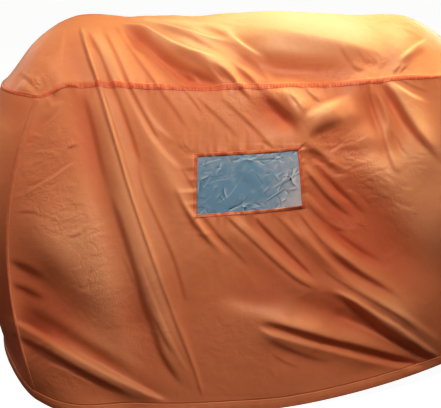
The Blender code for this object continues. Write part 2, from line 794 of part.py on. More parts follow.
def cord_hole():
    """Half length and half height of the hole that both strands pass through."""
    return (CORD_SPACING + CORD_DIAMETER) / 2.0 + CORD_GAP, CORD_DIAMETER / 2.0 + CORD_GAP


def spring_seat():
    """Where the plunger's foot stands at rest, left of the hole's middle."""
    return -cord_hole()[0] - PLUNGER_WEB


def lock_floor():
    """Closed end of the chamber, which the spring pushes against."""
    return spring_seat() - SPRING_LENGTH - 2.0 * SLIDE_GAP


def make_cord_lock():
    """Body with a chamber along X, the sprung plunger in it and the spring behind the plunger."""
    centre = lock_centre()
    half_hole, half_gap = cord_hole()
    low_x = lock_floor() - LOCK_WALL
    high_x = low_x + LOCK_LENGTH
    half_body = Vector((0.0, LOCK_DEPTH / 2.0, LOCK_HEIGHT / 2.0))
    body = box("cord_lock_body", centre + Vector((low_x, 0, 0)) - half_body,
               centre + Vector((high_x, 0, 0)) + half_body, lock_plastic())
    round_edges(body, LOCK_EDGE)
    half = PLUNGER_SIZE / 2.0
    side = Vector((0.0, half + SLIDE_GAP, half + SLIDE_GAP))
    chamber = box("chamber_cutter", centre + Vector((lock_floor(), 0, 0)) - side,
                  centre + Vector((high_x + LOCK_WALL, 0, 0)) + side, lock_plastic(), CUTTERS)
    through = Vector((half_hole, LOCK_DEPTH, half_gap))
    hole = box("cord_hole_cutter", centre - through, centre + through, lock_plastic(), CUTTERS)
    cut(body, chamber)
    cut(body, hole)

    plunger_finish = material("plunger_plastic", LOCK_BLACK, 0.30)
    plunger = box("cord_lock_plunger", (spring_seat(), -half, -half),
                  (high_x + BUTTON_REACH, half, half), plunger_finish)
    plunger.location = centre
    round_edges(plunger, LOCK_EDGE / 2.0)
    slot = box("plunger_slot_cutter", centre - through,
               centre + through + Vector((PLUNGER_TRAVEL, 0, 0)), lock_plastic(), CUTTERS)
    cut(plunger, slot)
    make_spring(centre)


def make_spring(centre):
    """Compression spring between the chamber's floor and the plunger's foot."""
    start = lock_floor() + SLIDE_GAP + SPRING_WIRE / 2.0
    length = SPRING_LENGTH - SPRING_WIRE
    radius = (SPRING_DIAMETER - SPRING_WIRE) / 2.0
    steps = SPRING_COILS * COIL_STEPS
    points = []
    for step in range(steps + 1):
        angle = 2.0 * math.pi * step / COIL_STEPS
        points.append(centre + Vector((start + length * step / steps,
                                       radius * math.cos(angle), radius * math.sin(angle))))
    finish = material("spring_steel", SPRING_STEEL, 0.3, 1.0)
    tube_curve("cord_lock_spring", points, SPRING_WIRE / 2.0, finish, 1)


def make_cord_beads():
    """Stopper beads on the two tails of the drawcord."""
    for name, side in (("cord_end_bead_left", -1), ("cord_end_bead_right", 1)):
        end = exit_bend(side)[-1]
        mesh = bmesh.new()
        bmesh.ops.create_uvsphere(mesh, u_segments=12, v_segments=8, radius=BEAD_RADIUS)
        apart = side * (BEAD_RADIUS + CORD_GAP - CORD_SPACING / 2.0)
        middle = end + Vector((apart, BEAD_RADIUS + CORD_GAP, 0.0))
        bmesh.ops.translate(mesh, vec=middle, verts=mesh.verts)
        finish_mesh(name, mesh, lock_plastic())


# Vents and seats

def vent_matrix(side):
    """Place of a vent: its Z axis is the flat patch's outward normal."""
    centre, outward, upward = vent_frame(side)
    across = upward.cross(outward)
    turn = Matrix((across, upward, outward)).transposed().to_4x4()
    return Matrix.Translation(centre) @ turn


def make_vent(name, wall_name, side):
    """Turned cloth sleeve with a flange on the wall, over a round hole in the wall."""
    profile = ((VENT_MOUTH_RADIUS, VENT_LENGTH), (VENT_WAIST_RADIUS, VENT_WAIST),
               (VENT_RADIUS, 0.0), (VENT_RADIUS + VENT_FLANGE, 0.0))
    mesh = bmesh.new()
    points = [mesh.verts.new((radius, 0.0, height)) for radius, height in profile]
    for first, second in zip(points, points[1:]):
        mesh.edges.new((first, second))
    vent = finish_mesh(name, mesh, tape_nylon(), smooth=False)
    vent.matrix_world = vent_matrix(side) @ Matrix.Translation((0.0, 0.0, LAP))
    screw = vent.modifiers.new("Turned", "SCREW")
    screw.steps = screw.render_steps = ROUND_STEPS
    screw.use_normal_calculate = True
    thicken(vent, CLOTH)

    bore = bmesh.new()
    radius = VENT_RADIUS - VENT_FLANGE / 2.0
    bmesh.ops.create_cone(bore, cap_ends=True, segments=ROUND_STEPS, radius1=radius,
                          radius2=radius, depth=VENT_LENGTH)
    data = bpy.data.meshes.new(name + "_cutter")
    bore.to_mesh(data)
    bore.free()
    cutter = add_object(name + "_cutter", data, tape_nylon(), CUTTERS)
    cutter.matrix_world = vent_matrix(side)
    cut(bpy.data.objects[wall_name], cutter)


def seat_edge():
    """Distance from the middle of the shelter to the sewn edge of a seat flap."""
    hem = right_place(DEEP_LINES, np.zeros_like(DEEP_LINES))
    beside = float(np.interp(SEAT_WIDTH / 2.0, hem[:, 1], hem[:, 0]))
    return beside - HEM_FOOT / 2.0 - LAP - CORD_GAP


def make_seat(name, side):
    """Heavy cloth flap on the ground, sewn to the end hem along its outer edge."""
    low = (min(0.0, -side * SEAT_LENGTH), -SEAT_WIDTH / 2.0, -SEAT_THICKNESS)
    high = (max(0.0, -side * SEAT_LENGTH), SEAT_WIDTH / 2.0, 0.0)
    seat = box(name, low, high, material("seat_cloth", SEAT_BLACK, 0.8))
    seat.location = (side * seat_edge(), 0.0, SEAT_THICKNESS)


def centre_plan():
    """Move everything back so that the middle of the whole plan is the origin."""
    back = exit_bend(1)[-1].y + CORD_GAP + 2.0 * BEAD_RADIUS
    front = FRONT_HEM_DEPTH + HEM_FOOT / 2.0
    for name in (COLLECTION, CUTTERS):
        for thing in bpy.data.collections[name].objects:
            thing.location.y += (front - back) / 2.0


def build():
    clear_scene()
    make_panels()
    make_window()
    make_roof_tapes()
    make_corner_tapes()
    for name, (place, stations) in hem_runs().items():
        make_channel(name, place, stations)
    make_drawcord()
    make_cord_lock()
    make_cord_beads()
    make_vent("vent_sleeve_left", "left_end_wall", -1)
    make_vent("vent_sleeve_right", "right_end_wall", 1)
    make_seat("seat_flap_left", -1)
    make_seat("seat_flap_right", 1)
    centre_plan()


build()
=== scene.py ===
# %% [markdown]
# # Dressing an emergency tent
# The real object is a bag of thin orange nylon with no poles. It is sewn from five panels and keeps
# the shape that it is held in. This lesson loads the imported model, lays finer cloth over each
# of its panels, and adds the window, seams, stitches, vents, seats and cord. A cloth simulation
# would put the folds where chance has them, so every large fold is a line laid on the cloth, and
# the result is the same at each run.

# %% Load the imported model
import json
import math

import bpy
import numpy as np
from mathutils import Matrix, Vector


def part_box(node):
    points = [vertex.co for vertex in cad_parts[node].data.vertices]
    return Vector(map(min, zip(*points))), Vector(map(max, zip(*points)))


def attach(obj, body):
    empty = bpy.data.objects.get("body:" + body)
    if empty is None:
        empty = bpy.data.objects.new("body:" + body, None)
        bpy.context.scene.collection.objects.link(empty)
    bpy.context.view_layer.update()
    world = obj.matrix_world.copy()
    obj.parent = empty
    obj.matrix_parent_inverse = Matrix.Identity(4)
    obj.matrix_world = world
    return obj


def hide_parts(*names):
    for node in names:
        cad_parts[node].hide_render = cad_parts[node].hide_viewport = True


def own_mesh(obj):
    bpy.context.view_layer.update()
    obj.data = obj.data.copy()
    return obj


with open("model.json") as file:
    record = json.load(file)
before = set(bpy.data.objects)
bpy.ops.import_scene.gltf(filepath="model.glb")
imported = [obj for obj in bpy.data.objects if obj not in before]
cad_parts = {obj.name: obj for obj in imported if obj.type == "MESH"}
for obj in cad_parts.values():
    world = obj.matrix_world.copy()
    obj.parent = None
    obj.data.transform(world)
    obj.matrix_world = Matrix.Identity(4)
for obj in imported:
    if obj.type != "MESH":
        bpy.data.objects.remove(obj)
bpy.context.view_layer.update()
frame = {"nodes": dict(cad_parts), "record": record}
SHELL = next(body for body, nodes in frame["record"]["behaviour"]["bodies"].items()
             if "front_wall" in nodes)


# %% One way to add an object
def add_object(name, data):
    made = bpy.data.objects.new(name, data)
    bpy.context.scene.collection.objects.link(made)
    return made


# %% [markdown]
# ## Camera
# The photograph looks slightly down on the front wall from the left of its middle. The lens is
# given in pixels of the photograph, which is easier to measure there than millimetres.

# %% Place the camera
IMAGE_WIDTH, IMAGE_HEIGHT = 441, 408
FOCAL_PIXELS = 990
VIEW_AZIMUTH, VIEW_ELEVATION = math.radians(-5), math.radians(20)
VIEW_DISTANCE = 2.72
VIEW_TARGET = Vector((-0.0765, -0.1146, 0.404))

camera_data = bpy.data.cameras.new("camera")
camera_data.lens = camera_data.sensor_width * FOCAL_PIXELS / IMAGE_WIDTH
camera = add_object("camera", camera_data)
backwards = Vector((math.sin(VIEW_AZIMUTH) * math.cos(VIEW_ELEVATION),
                    -math.cos(VIEW_AZIMUTH) * math.cos(VIEW_ELEVATION), math.sin(VIEW_ELEVATION)))
camera.location = VIEW_TARGET + backwards * VIEW_DISTANCE
camera.rotation_euler = backwards.to_track_quat("Z", "Y").to_euler()
bpy.context.scene.camera = camera
print("lens", round(camera_data.lens, 1), "mm at", [round(x, 2) for x in camera.location])

# %% [markdown]
# ## The shape of the cloth
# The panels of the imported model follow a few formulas, which are repeated here with the same
# sizes. u runs along the tent and w across it, from -1 to 1, and v runs from the ground, 0, to
# the roof seam, 1. With formulas a panel can be cut into as many cells as its folds need, and
# neighbours meet on the same line without any fitting.

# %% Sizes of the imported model
HEM_HALF_LENGTH, SEAM_HALF_LENGTH, CORNER_BULGE = 0.620, 0.550, 0.070
HEM_CORNER_DEPTH, SEAM_CORNER_DEPTH = 0.365, 0.165
FRONT_HEM_DEPTH, BACK_HEM_DEPTH, SEAM_DEPTH = 0.575, 0.420, 0.210
HEM_END_BULGE, SEAM_END_BULGE = 0.070, 0.115
FRONT_APEX_SHIFT = 0.22
CORNER_PULL, CORNER_DRAW, PULL_POWER = 0.110, 0.045, 1.5
PULL_ALONG, PULL_ACROSS = (0.30, 0.60), (0.18, 0.36)
WALL_POWER_TOP, WALL_POWER_HEM, END_POWER_TOP, END_POWER_HEM = 2.3, 2.6, 2.4, 4.0
SEAM_HEIGHT, SEAM_SAG = 0.752, 0.010
LOW_CORNER_DROP, LOW_CORNER_START = 0.036, 0.84
ROOF_RISE, ROOF_POWER, RIDGE_RUN_IN, RIDGE_TILT, RIDGE_BLEND = 0.140, 1.8, 0.27, 0.010, 0.35
PEAK_SPACING, PEAK_RISE, PEAK_RADIUS = 0.808, 0.008, 0.080
RAISED_CORNER, LIFT_POWER = 0.038, 0.7
FRONT_LIFT_START, BACK_LIFT_START, END_LIFT_START = 0.05, 0.70, 0.45
WINDOW_TILT = 0.034
CLOTH = 0.0008
TAPE_WIDTH, CORNER_BAND = 0.012, 0.97
HEM_HEIGHT, HEM_WIDTH = 0.022, 0.0080
WINDOW_WIDTH, WINDOW_HEIGHT, WINDOW_X, WINDOW_CENTRE = 0.267, 0.148, -0.0165, 0.696
BINDING_WIDTH = 0.009
VENT_RADIUS, VENT_LENGTH, VENT_MOUTH_RADIUS, VENT_FLANGE = 0.042, 0.070, 0.036, 0.010
VENT_CENTRE, VENT_PATCH, VENT_BLEND = 0.780, 0.062, 0.035
SEAT_WIDTH, SEAT_LENGTH, SEAT_THICKNESS = 0.290, 0.260, 0.0012
WALL_RUN, HALF_ROOF_RUN, WALL_SLANT = 0.75, 0.27, 0.83
SEAM_HOLD, SEAM_REACH = 0.55, 0.05
FOLD_RUN_IN, FOLD_RUN_OUT, HEM_RUN_IN, ROOF_RUN_IN = 0.18, 0.25, 0.06, 0.5
END_RUN_OUT, EDGE_POWER = (0.86, 0.98), 10
LOW_LIFT, LIFT_RUNS = math.radians(22), (0.55, 1.02)
PLAN_SHIFT = 0.05545
print("roof seam at", SEAM_HEIGHT, "m, peaks", PEAK_SPACING, "m apart")


# %% Small helpers for profiles
def ease(t):
    t = np.clip(t, 0.0, 1.0)
    return t * t * (3.0 - 2.0 * t)


def ramp(value, start, end):
    return ease((value - start) / (end - start))


def mix(low, high, t):
    return low + (high - low) * t


def hump(v):
    return 4.0 * v * (1.0 - v)


def smooth_least(a, b, blend):
    h = np.clip(0.5 + 0.5 * (b - a) / blend, 0.0, 1.0)
    return b * (1.0 - h) + a * h - blend * h * (1.0 - h)


print("half way up a ramp:", float(ramp(0.5, 0.0, 1.0)))


# %% Bare walls and ends, without folds
def half_length(v):
    return mix(HEM_HALF_LENGTH, SEAM_HALF_LENGTH, v) + CORNER_BULGE * hump(v)


def corner_depth(v):
    return mix(HEM_CORNER_DEPTH, SEAM_CORNER_DEPTH, v)


def seam_height(u):
    low_corner = np.where(u < 0.0, ramp(np.abs(u), LOW_CORNER_START, 1.0), 0.0)
    return SEAM_HEIGHT - SEAM_SAG * (1.0 - u * u) - LOW_CORNER_DROP * low_corner


def hem_height(u, start):
    way = np.clip((u - start) / (1.0 - start), 0.0, 1.0)
    return RAISED_CORNER * ease(way ** LIFT_POWER)


def pull_corner(place):
    share = ramp(-place[..., 0], *PULL_ALONG) * ramp(-place[..., 1], *PULL_ACROSS)
    low = np.clip(1.0 - place[..., 2] / SEAM_HEIGHT, 0.0, 1.0) ** PULL_POWER
    place[..., 0] += CORNER_DRAW * share * low
    place[..., 1] -= CORNER_PULL * share * low
    return place


def bare_wall(u, v, side):
    hem_depth, lift_start = ((FRONT_HEM_DEPTH, FRONT_LIFT_START) if side < 0
                             else (BACK_HEM_DEPTH, BACK_LIFT_START))
    apex = -FRONT_APEX_SHIFT * (1.0 - v) if side < 0 else 0.0 * v
    t = np.where(u > apex, (u - apex) / (1.0 - apex), (apex - u) / (1.0 + apex))
    profile = 1.0 - np.abs(t) ** mix(WALL_POWER_HEM, WALL_POWER_TOP, v)
    y = mix(corner_depth(v), mix(hem_depth, SEAM_DEPTH, v), profile)
    tilt = WINDOW_TILT * u * (1.0 - u * u) * hump(v) if side < 0 else 0.0
    z = mix(hem_height(u, lift_start), seam_height(u), v) + tilt
    return np.stack([u * half_length(v), side * y, z], -1)


def bare_end(w, v, side):
    profile = 1.0 - np.abs(w) ** mix(END_POWER_HEM, END_POWER_TOP, v)
    x = half_length(v) + mix(HEM_END_BULGE, SEAM_END_BULGE, v) * profile
    low = RAISED_CORNER * ramp(np.abs(w), END_LIFT_START, 1.0) if side > 0 else 0.0 * w
    top = SEAM_HEIGHT - (LOW_CORNER_DROP if side < 0 else 0.0)
    return np.stack([side * x, w * corner_depth(v), mix(low, top, v)], -1)


print("left hem corner", pull_corner(bare_wall(np.array(-1.0), np.array(0.0), -1)).round(3))

# %% [markdown]
# ## Folds
# Thin coated cloth under tension makes long straight folds that fan out from where it is held
# up, and small star-shaped crumples where two pulls meet. A place on the front or back cloth is
# (x, run): run is the way up the cloth, 0 at the hem, 0.75 at the roof seam and 1.02 on the
# ridge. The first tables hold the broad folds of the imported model. The next ones hold narrower
# creases of the back and the ends, each a curve through a few places with a half width, a
# height and a shape. The front's own creases are drawn over the picture, further down.

# %% Broad folds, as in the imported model
FRONT_FOLDS = (
    ((-0.425, 0.960), (-0.186, 0.030), 0.020, 0.034, 0.024),
    ((-0.470, 0.930), (-0.270, 0.060), 0.030, 0.030, -0.012),
    ((-0.378, 0.920), (-0.150, 0.400), 0.020, 0.028, 0.013),
    ((-0.361, 0.970), (0.136, 0.815), -0.010, 0.030, 0.012),
    ((-0.363, 0.953), (-0.093, 0.766), -0.012, 0.028, -0.012),
    ((-0.100, 0.440), (0.181, 0.200), -0.012, 0.026, 0.010),
    ((0.060, 0.440), (0.455, 0.060), -0.015, 0.030, 0.020),
    ((-0.029, 0.200), (0.470, 0.030), -0.010, 0.034, 0.018),
    ((0.090, 0.250), (0.452, 0.035), -0.010, 0.030, -0.014),
    ((0.395, 0.960), (0.470, 0.450), 0.012, 0.034, 0.016),
    ((0.316, 0.780), (0.420, 0.520), 0.010, 0.030, -0.010),
    ((0.110, 0.600), (0.290, 0.700), 0.010, 0.028, 0.012),
    ((0.122, 0.590), (0.400, 0.560), 0.008, 0.028, -0.010),
    ((-0.620, 0.170), (-0.270, 0.025), -0.012, 0.034, 0.020),
    ((-0.540, 0.700), (-0.600, 0.560), 0.000, 0.030, -0.008),
)
BACK_FOLDS = (
    ((-0.410, 0.980), (-0.300, 0.060), -0.020, 0.036, 0.018),
    ((-0.360, 0.960), (-0.060, 0.300), -0.020, 0.034, 0.012),
    ((0.400, 0.980), (0.330, 0.060), 0.020, 0.036, 0.018),
    ((0.350, 0.950), (0.020, 0.250), 0.025, 0.034, 0.012),
    ((-0.480, 0.300), (0.100, 0.120), 0.030, 0.036, -0.012),
    ((0.500, 0.420), (0.150, 0.080), -0.020, 0.034, 0.014),
)
END_FOLDS = (
    ((-0.110, 0.720), (-0.230, 0.080), 0.015, 0.034, 0.014),
    ((0.110, 0.720), (0.210, 0.060), -0.015, 0.034, 0.012),
    ((-0.170, 0.280), (0.170, 0.180), 0.012, 0.034, -0.010),
)


def fold_height(across, run, folds):
    """Sum of the broad folds at each place, eased where the roof seam holds the cloth."""
    total = 0.0 * across
    for (x0, g0), (x1, g1), bow, width, height in folds:
        long_x, long_g = x1 - x0, g1 - g0
        length = math.hypot(long_x, long_g)
        along = ((across - x0) * long_x + (run - g0) * long_g) / length ** 2
        on_line = np.clip(along, 0.0, 1.0)
        aside = (((across - x0) * long_g - (run - g0) * long_x) / length
                 - bow * 4.0 * on_line * (1.0 - on_line))
        beyond = (along - on_line) * length
        fade = ease(on_line / FOLD_RUN_IN) * ease((1.0 - on_line) / FOLD_RUN_OUT)
        t = (aside / width) ** 2
        total += (height * fade * np.exp(-(beyond / width) ** 2)
                  * (1.0 - 0.5 * t) * np.exp(-0.5 * t))
    return total * (1.0 - SEAM_HOLD * np.exp(-((run - WALL_RUN) / SEAM_REACH) ** 2))


print(len(FRONT_FOLDS) + len(BACK_FOLDS) + len(END_FOLDS), "broad folds")

# %% Narrow creases of the back and the ends
BACK_CREASES = (
    (((-0.420, 0.960), (-0.380, 0.700), (-0.330, 0.400), (-0.300, 0.050)), 0.007, 0.0055, "pleat"),
    (((-0.380, 0.940), (-0.250, 0.720), (-0.100, 0.450), (0.020, 0.250)), 0.008, 0.0050, "pleat"),
    (((0.410, 0.960), (0.370, 0.650), (0.340, 0.300), (0.330, 0.040)), 0.007, 0.0055, "pleat"),
    (((0.370, 0.940), (0.250, 0.700), (0.080, 0.400), (-0.060, 0.180)), 0.008, 0.0050, "pleat"),
    (((-0.330, 0.960), (-0.100, 0.850), (0.150, 0.790)), 0.014, 0.0050, "ridge"),
    (((0.330, 0.960), (0.120, 0.860), (-0.120, 0.800)), 0.014, -0.0050, "ridge"),
    (((-0.600, 0.240), (-0.420, 0.180), (-0.200, 0.060)), 0.014, 0.0070, "pleat"),
    (((0.600, 0.260), (0.430, 0.160), (0.230, 0.050)), 0.014, 0.0070, "pleat"),
    (((-0.250, 0.560), (-0.050, 0.500), (0.200, 0.580)), 0.014, -0.0040, "ridge"),
    (((0.450, 0.620), (0.520, 0.480), (0.560, 0.350)), 0.012, -0.0050, "ridge"),
    (((-0.450, 0.640), (-0.520, 0.500), (-0.570, 0.330)), 0.012, 0.0050, "ridge"),
)
END_CREASES = (
    (((-0.100, 0.730), (-0.160, 0.500), (-0.230, 0.250), (-0.280, 0.050)), 0.007, 0.0055, "pleat"),
    (((0.100, 0.730), (0.150, 0.480), (0.220, 0.240), (0.260, 0.050)), 0.010, 0.0055, "pleat"),
    (((-0.040, 0.500), (-0.060, 0.330), (-0.120, 0.120)), 0.012, 0.0045, "ridge"),
    (((0.030, 0.500), (0.060, 0.320), (0.080, 0.120)), 0.012, -0.0045, "ridge"),
    (((-0.260, 0.230), (-0.050, 0.190), (0.200, 0.210)), 0.014, -0.0050, "ridge"),
    (((-0.300, 0.120), (-0.150, 0.100), (0.050, 0.060)), 0.008, 0.0050, "pleat"),
)


def through(places, steps=4):
    """Points of a smooth curve through the places."""
    places = np.array([2 * np.array(places[0]) - places[1], *places,
                       2 * np.array(places[-1]) - places[-2]], float)
    points = []
    for a, b, c, d in zip(places, places[1:], places[2:], places[3:]):
        for t in np.arange(steps) / steps:
            points.append(0.5 * (2 * b + (c - a) * t + (2 * a - 5 * b + 4 * c - d) * t ** 2
                                 + (3 * b - a - 3 * c + d) * t ** 3))
    return np.array([*points, places[-2]])


CREASE_SHAPES = {
    "ridge": lambda t: (1.0 - 0.4 * t * t) * np.exp(-0.5 * t * t),
    "pleat": lambda t: 1.25 * np.exp(-np.sqrt(t * t + 0.05)) - 0.28 * np.exp(-(t / 2.6) ** 2),
    "shaded": lambda t: -t / (1.0 + t * t) * np.exp(-(t / 6.0) ** 2),
    "lit": lambda t: t / (1.0 + t * t) * np.exp(-(t / 6.0) ** 2),
    "brow": lambda t: np.exp(-np.where(t > 0.0, t, t / 3.0) ** 2),
}
print(len(BACK_CREASES), "on the back and", len(END_CREASES), "on each end")


# %% Height of the creases at each place
FADE_OUT, LONGEST_RUN_OUT, CREASE_MARGIN = 9.0, 0.4, 7
TABLE_SIZE, TABLE_START = 64, (17.3, 9.1)
WARP, WARP_PITCH, LARGE_CREST, SMALL_CREST, LARGE_SHARE = 0.020, 0.060, 0.060, 0.028, 0.65


def crease_height(across, run, creases):
    """Sum of the creases, each at its distance from the nearest point of its curve."""
    total = 0.0 * across
    for places, width, height, shape in creases:
        curve = through(places, 4 if len(places) > 3 else 2)
        margin = CREASE_MARGIN * width
        near = ((across > curve[:, 0].min() - margin) & (across < curve[:, 0].max() + margin)
                & (run > curve[:, 1].min() - margin) & (run < curve[:, 1].max() + margin))
        x, g = across[near], run[near]
        closest, signed, along = np.full(x.shape, np.inf), 0.0 * x, 0.0 * x
        beyond = 0.0 * x
        for i, ((x0, g0), (x1, g1)) in enumerate(zip(curve, curve[1:])):
            long_x, long_g = x1 - x0, g1 - g0
            length = math.hypot(long_x, long_g)
            t = ((x - x0) * long_x + (g - g0) * long_g) / length ** 2
            held = np.clip(t, 0.0, 1.0)
            distance = np.hypot(x - x0 - held * long_x, g - g0 - held * long_g)
            nearer = distance < closest
            closest = np.where(nearer, distance, closest)
            sign = np.sign((x - x0) * long_g - (g - g0) * long_x)
            signed = np.where(nearer, sign * distance, signed)
            along = np.where(nearer, (i + held) / (len(curve) - 1), along)
            beyond = np.where(nearer, np.abs(t - held) * length, beyond)
        length = np.sum(np.hypot(*np.diff(curve, axis=0).T))
        run_out = min(LONGEST_RUN_OUT, FADE_OUT * width / length)
        fade = ease(along / run_out) * ease((1.0 - along) / run_out) * np.exp(-(beyond / width) ** 2)
        total[near] += height * fade * CREASE_SHAPES[shape](signed / width)
    return total


def ripple(x, y, pitch, seed):
    """Smooth random heights from -1 to 1 with bumps about this far apart."""
    table = np.random.default_rng(seed).uniform(-1.0, 1.0, (TABLE_SIZE, TABLE_SIZE))
    gx, gy = x / pitch + TABLE_START[0], y / pitch + TABLE_START[1]
    ix, iy = np.floor(gx).astype(int), np.floor(gy).astype(int)
    fx, fy = ease(gx - ix), ease(gy - iy)
    corner = [[table[(ix + i) % TABLE_SIZE, (iy + j) % TABLE_SIZE] for j in (0, 1)]
              for i in (0, 1)]
    return mix(mix(corner[0][0], corner[1][0], fx), mix(corner[0][1], corner[1][1], fx), fy)


def crumple(x, y, seed):
    """Sharp little crests that run into each other, as in handled thin cloth."""
    wx = x + WARP * ripple(x, y, WARP_PITCH, seed)
    wy = y + WARP * ripple(x, y, WARP_PITCH, seed + 1)
    large = 1.0 - 2.0 * np.abs(ripple(wx + wy, wx - wy, LARGE_CREST, seed + 2))
    small = 1.0 - 2.0 * np.abs(ripple(wx - wy, wx + wy, SMALL_CREST, seed + 3))
    return LARGE_SHARE * large + (1.0 - LARGE_SHARE) * small


row = np.linspace(0.0, 1.0, 99)
print("crumples range to", round(float(crumple(row, row, 5).max()), 2))

# %% [markdown]
# ## Puckers
# A sewn line shortens the cloth a little, so short puckers stand across the roof seam and all
# round the window. Between the folds the cloth is never quite smooth.

# %% Fine relief of the front and back cloth
CRUMPLE_EVERYWHERE = 0.0005
ROOF_GAIN, BEHIND_RIDGE = 1.4, (1.02, 1.10)
PUCKERS = ((0.009, 0.010, 0.0030), (0.019, 0.034, 0.0018))
WINDOW_PUCKER, PUCKER_RING, PUCKER_REACH, PUCKER_PITCH = 0.0030, 0.010, 0.018, 0.0095
WINDOW_CALM, CALM_SHARE = 0.012, 0.25


def outside_window(x, run):
    """Distance from the edge of the window, and the way round it."""
    half_x, half_g = WINDOW_WIDTH / 2, WINDOW_HEIGHT / 2 * WALL_RUN / WALL_SLANT
    dx, dg = x - WINDOW_X, run - WINDOW_CENTRE * WALL_RUN
    out_x, out_g = np.abs(dx) - half_x, np.abs(dg) - half_g
    distance = np.hypot(np.maximum(out_x, 0.0), np.maximum(out_g, 0.0))
    way = np.where(out_x > out_g, dg + np.sign(dx) * 3.0, dx + np.sign(dg) * 7.0)
    return distance, way


def fine_relief(x, run, side, seen):
    if side < 0:
        relief, seed = crease_height(seen[..., 0], -seen[..., 1], front_creases), 11
        relief = relief * (1.0 + ROOF_GAIN * ramp(run, WALL_RUN, WALL_RUN + HALF_ROOF_RUN))
        relief = relief * (1.0 - ramp(run, *BEHIND_RIDGE))
    else:
        relief, seed = crease_height(x, run, back_creases), 31
    relief = relief + CRUMPLE_EVERYWHERE * crumple(x, run * 1.1, seed)
    to_seam = np.abs(run - WALL_RUN)
    for pitch, reach, height in PUCKERS:
        relief = relief + (height * np.exp(-to_seam / reach)
                           * ripple(x, run * 0.3, pitch, seed + round(1000 * pitch)))
    if side < 0:
        distance, way = outside_window(x, run)
        relief = relief * ease(distance / WINDOW_CALM + CALM_SHARE)
        round_window = np.exp(-np.abs(distance - PUCKER_RING) / PUCKER_REACH) * (distance > 0)
        puckers = ripple(way, 0.15 * distance, PUCKER_PITCH, 5)
        relief = relief + WINDOW_PUCKER * round_window * puckers
    return relief


print("puckers up to", PUCKERS[0][2] * 1000, "mm")


# %% Where the camera shows a place
def in_picture(places):
    """Pixels across and down the photograph."""
    right, up, back = (np.array(axis) for axis in camera.rotation_euler.to_matrix().transposed())
    away = places - np.array(camera.location)
    depth = -(away @ back)
    return np.stack([IMAGE_WIDTH / 2 + FOCAL_PIXELS * (away @ right) / depth,
                     IMAGE_HEIGHT / 2 - FOCAL_PIXELS * (away @ up) / depth], -1)


print("the target is at", np.round(in_picture(np.array(VIEW_TARGET)), 1))


# %% Folded surfaces
BROAD_SHARE = {-1: 0.6, 1: 0.85}
ROUND_CORNER = (-0.75, -0.25)


def lift_angle(run):
    return mix(LOW_LIFT, math.pi / 2.0, ramp(run, *LIFT_RUNS))


def edge_fade(t):
    return 1.0 - np.abs(t) ** EDGE_POWER


def corner_fade(t):
    return 1.0 - np.abs(t) ** (3 * EDGE_POWER)


def settled(place):
    """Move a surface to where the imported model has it."""
    return place + np.array([0.0, PLAN_SHIFT, 0.0])


def pushed_out(place, push, run, side):
    tip = lift_angle(run)
    return place + np.stack([0.0 * push, side * push * np.cos(tip), push * np.sin(tip)], -1)


def wall(u, v, side, fine=True):
    """Front (side -1) or back (side 1) wall: its places and how far each stands out."""
    place = bare_wall(u, v, side)
    run = v * WALL_RUN
    above_hem = ease(v / HEM_RUN_IN)
    folds = FRONT_FOLDS if side < 0 else BACK_FOLDS
    push = fold_height(place[..., 0], run, folds) * edge_fade(u) * above_hem
    if fine:
        push = BROAD_SHARE[side] * push
        seen = in_picture(settled(pull_corner(pushed_out(place, push, run, side))))
        relief = fine_relief(place[..., 0], run, side, seen)
        push = push + relief * corner_fade(u) * above_hem
    return settled(pull_corner(pushed_out(place, push, run, side))), push


def vent_flatness(w, v):
    across = np.abs(w) * corner_depth(VENT_CENTRE)
    up = np.abs(v - VENT_CENTRE) * SEAM_HEIGHT
    return 1.0 - ramp(np.maximum(across, up), VENT_PATCH, VENT_PATCH + VENT_BLEND)


def vent_frame(side):
    levels = VENT_CENTRE + np.array([-0.001, 0.0, 0.001])
    below, centre, above = bare_end(0.0 * levels, levels, side)
    upward = (above - below) / np.linalg.norm(above - below)
    return centre, np.cross([0.0, side, 0.0], upward), upward


def end_wall(w, v, side, fine=True):
    place = bare_end(w, v, side)
    run = v * WALL_RUN
    y = place[..., 1].copy()
    away = 1.0 - vent_flatness(w, v)
    push = fold_height(y, run, END_FOLDS) * edge_fade(w)
    if fine:
        extra = crease_height(side * y, run, end_creases)
        extra = extra + CRUMPLE_EVERYWHERE * crumple(y + 3.0 * side, run, 51)
        if side < 0:
            seen = in_picture(settled(pull_corner(place.copy())))
            round_corner = crease_height(seen[..., 0], -seen[..., 1], front_creases)
            extra = extra + round_corner * (1.0 - ramp(w, *ROUND_CORNER))
        push = push + extra * corner_fade(w)
    push = push * ease(v / HEM_RUN_IN) * away * (1.0 - ramp(v, *END_RUN_OUT))
    place[..., 0] += side * push
    centre, outward, _ = vent_frame(side)
    height = (place - centre) @ outward
    place = place - ((1.0 - away) * height)[..., None] * outward
    return settled(pull_corner(place)), push


print("vent centre", np.round(vent_frame(1)[0], 3))


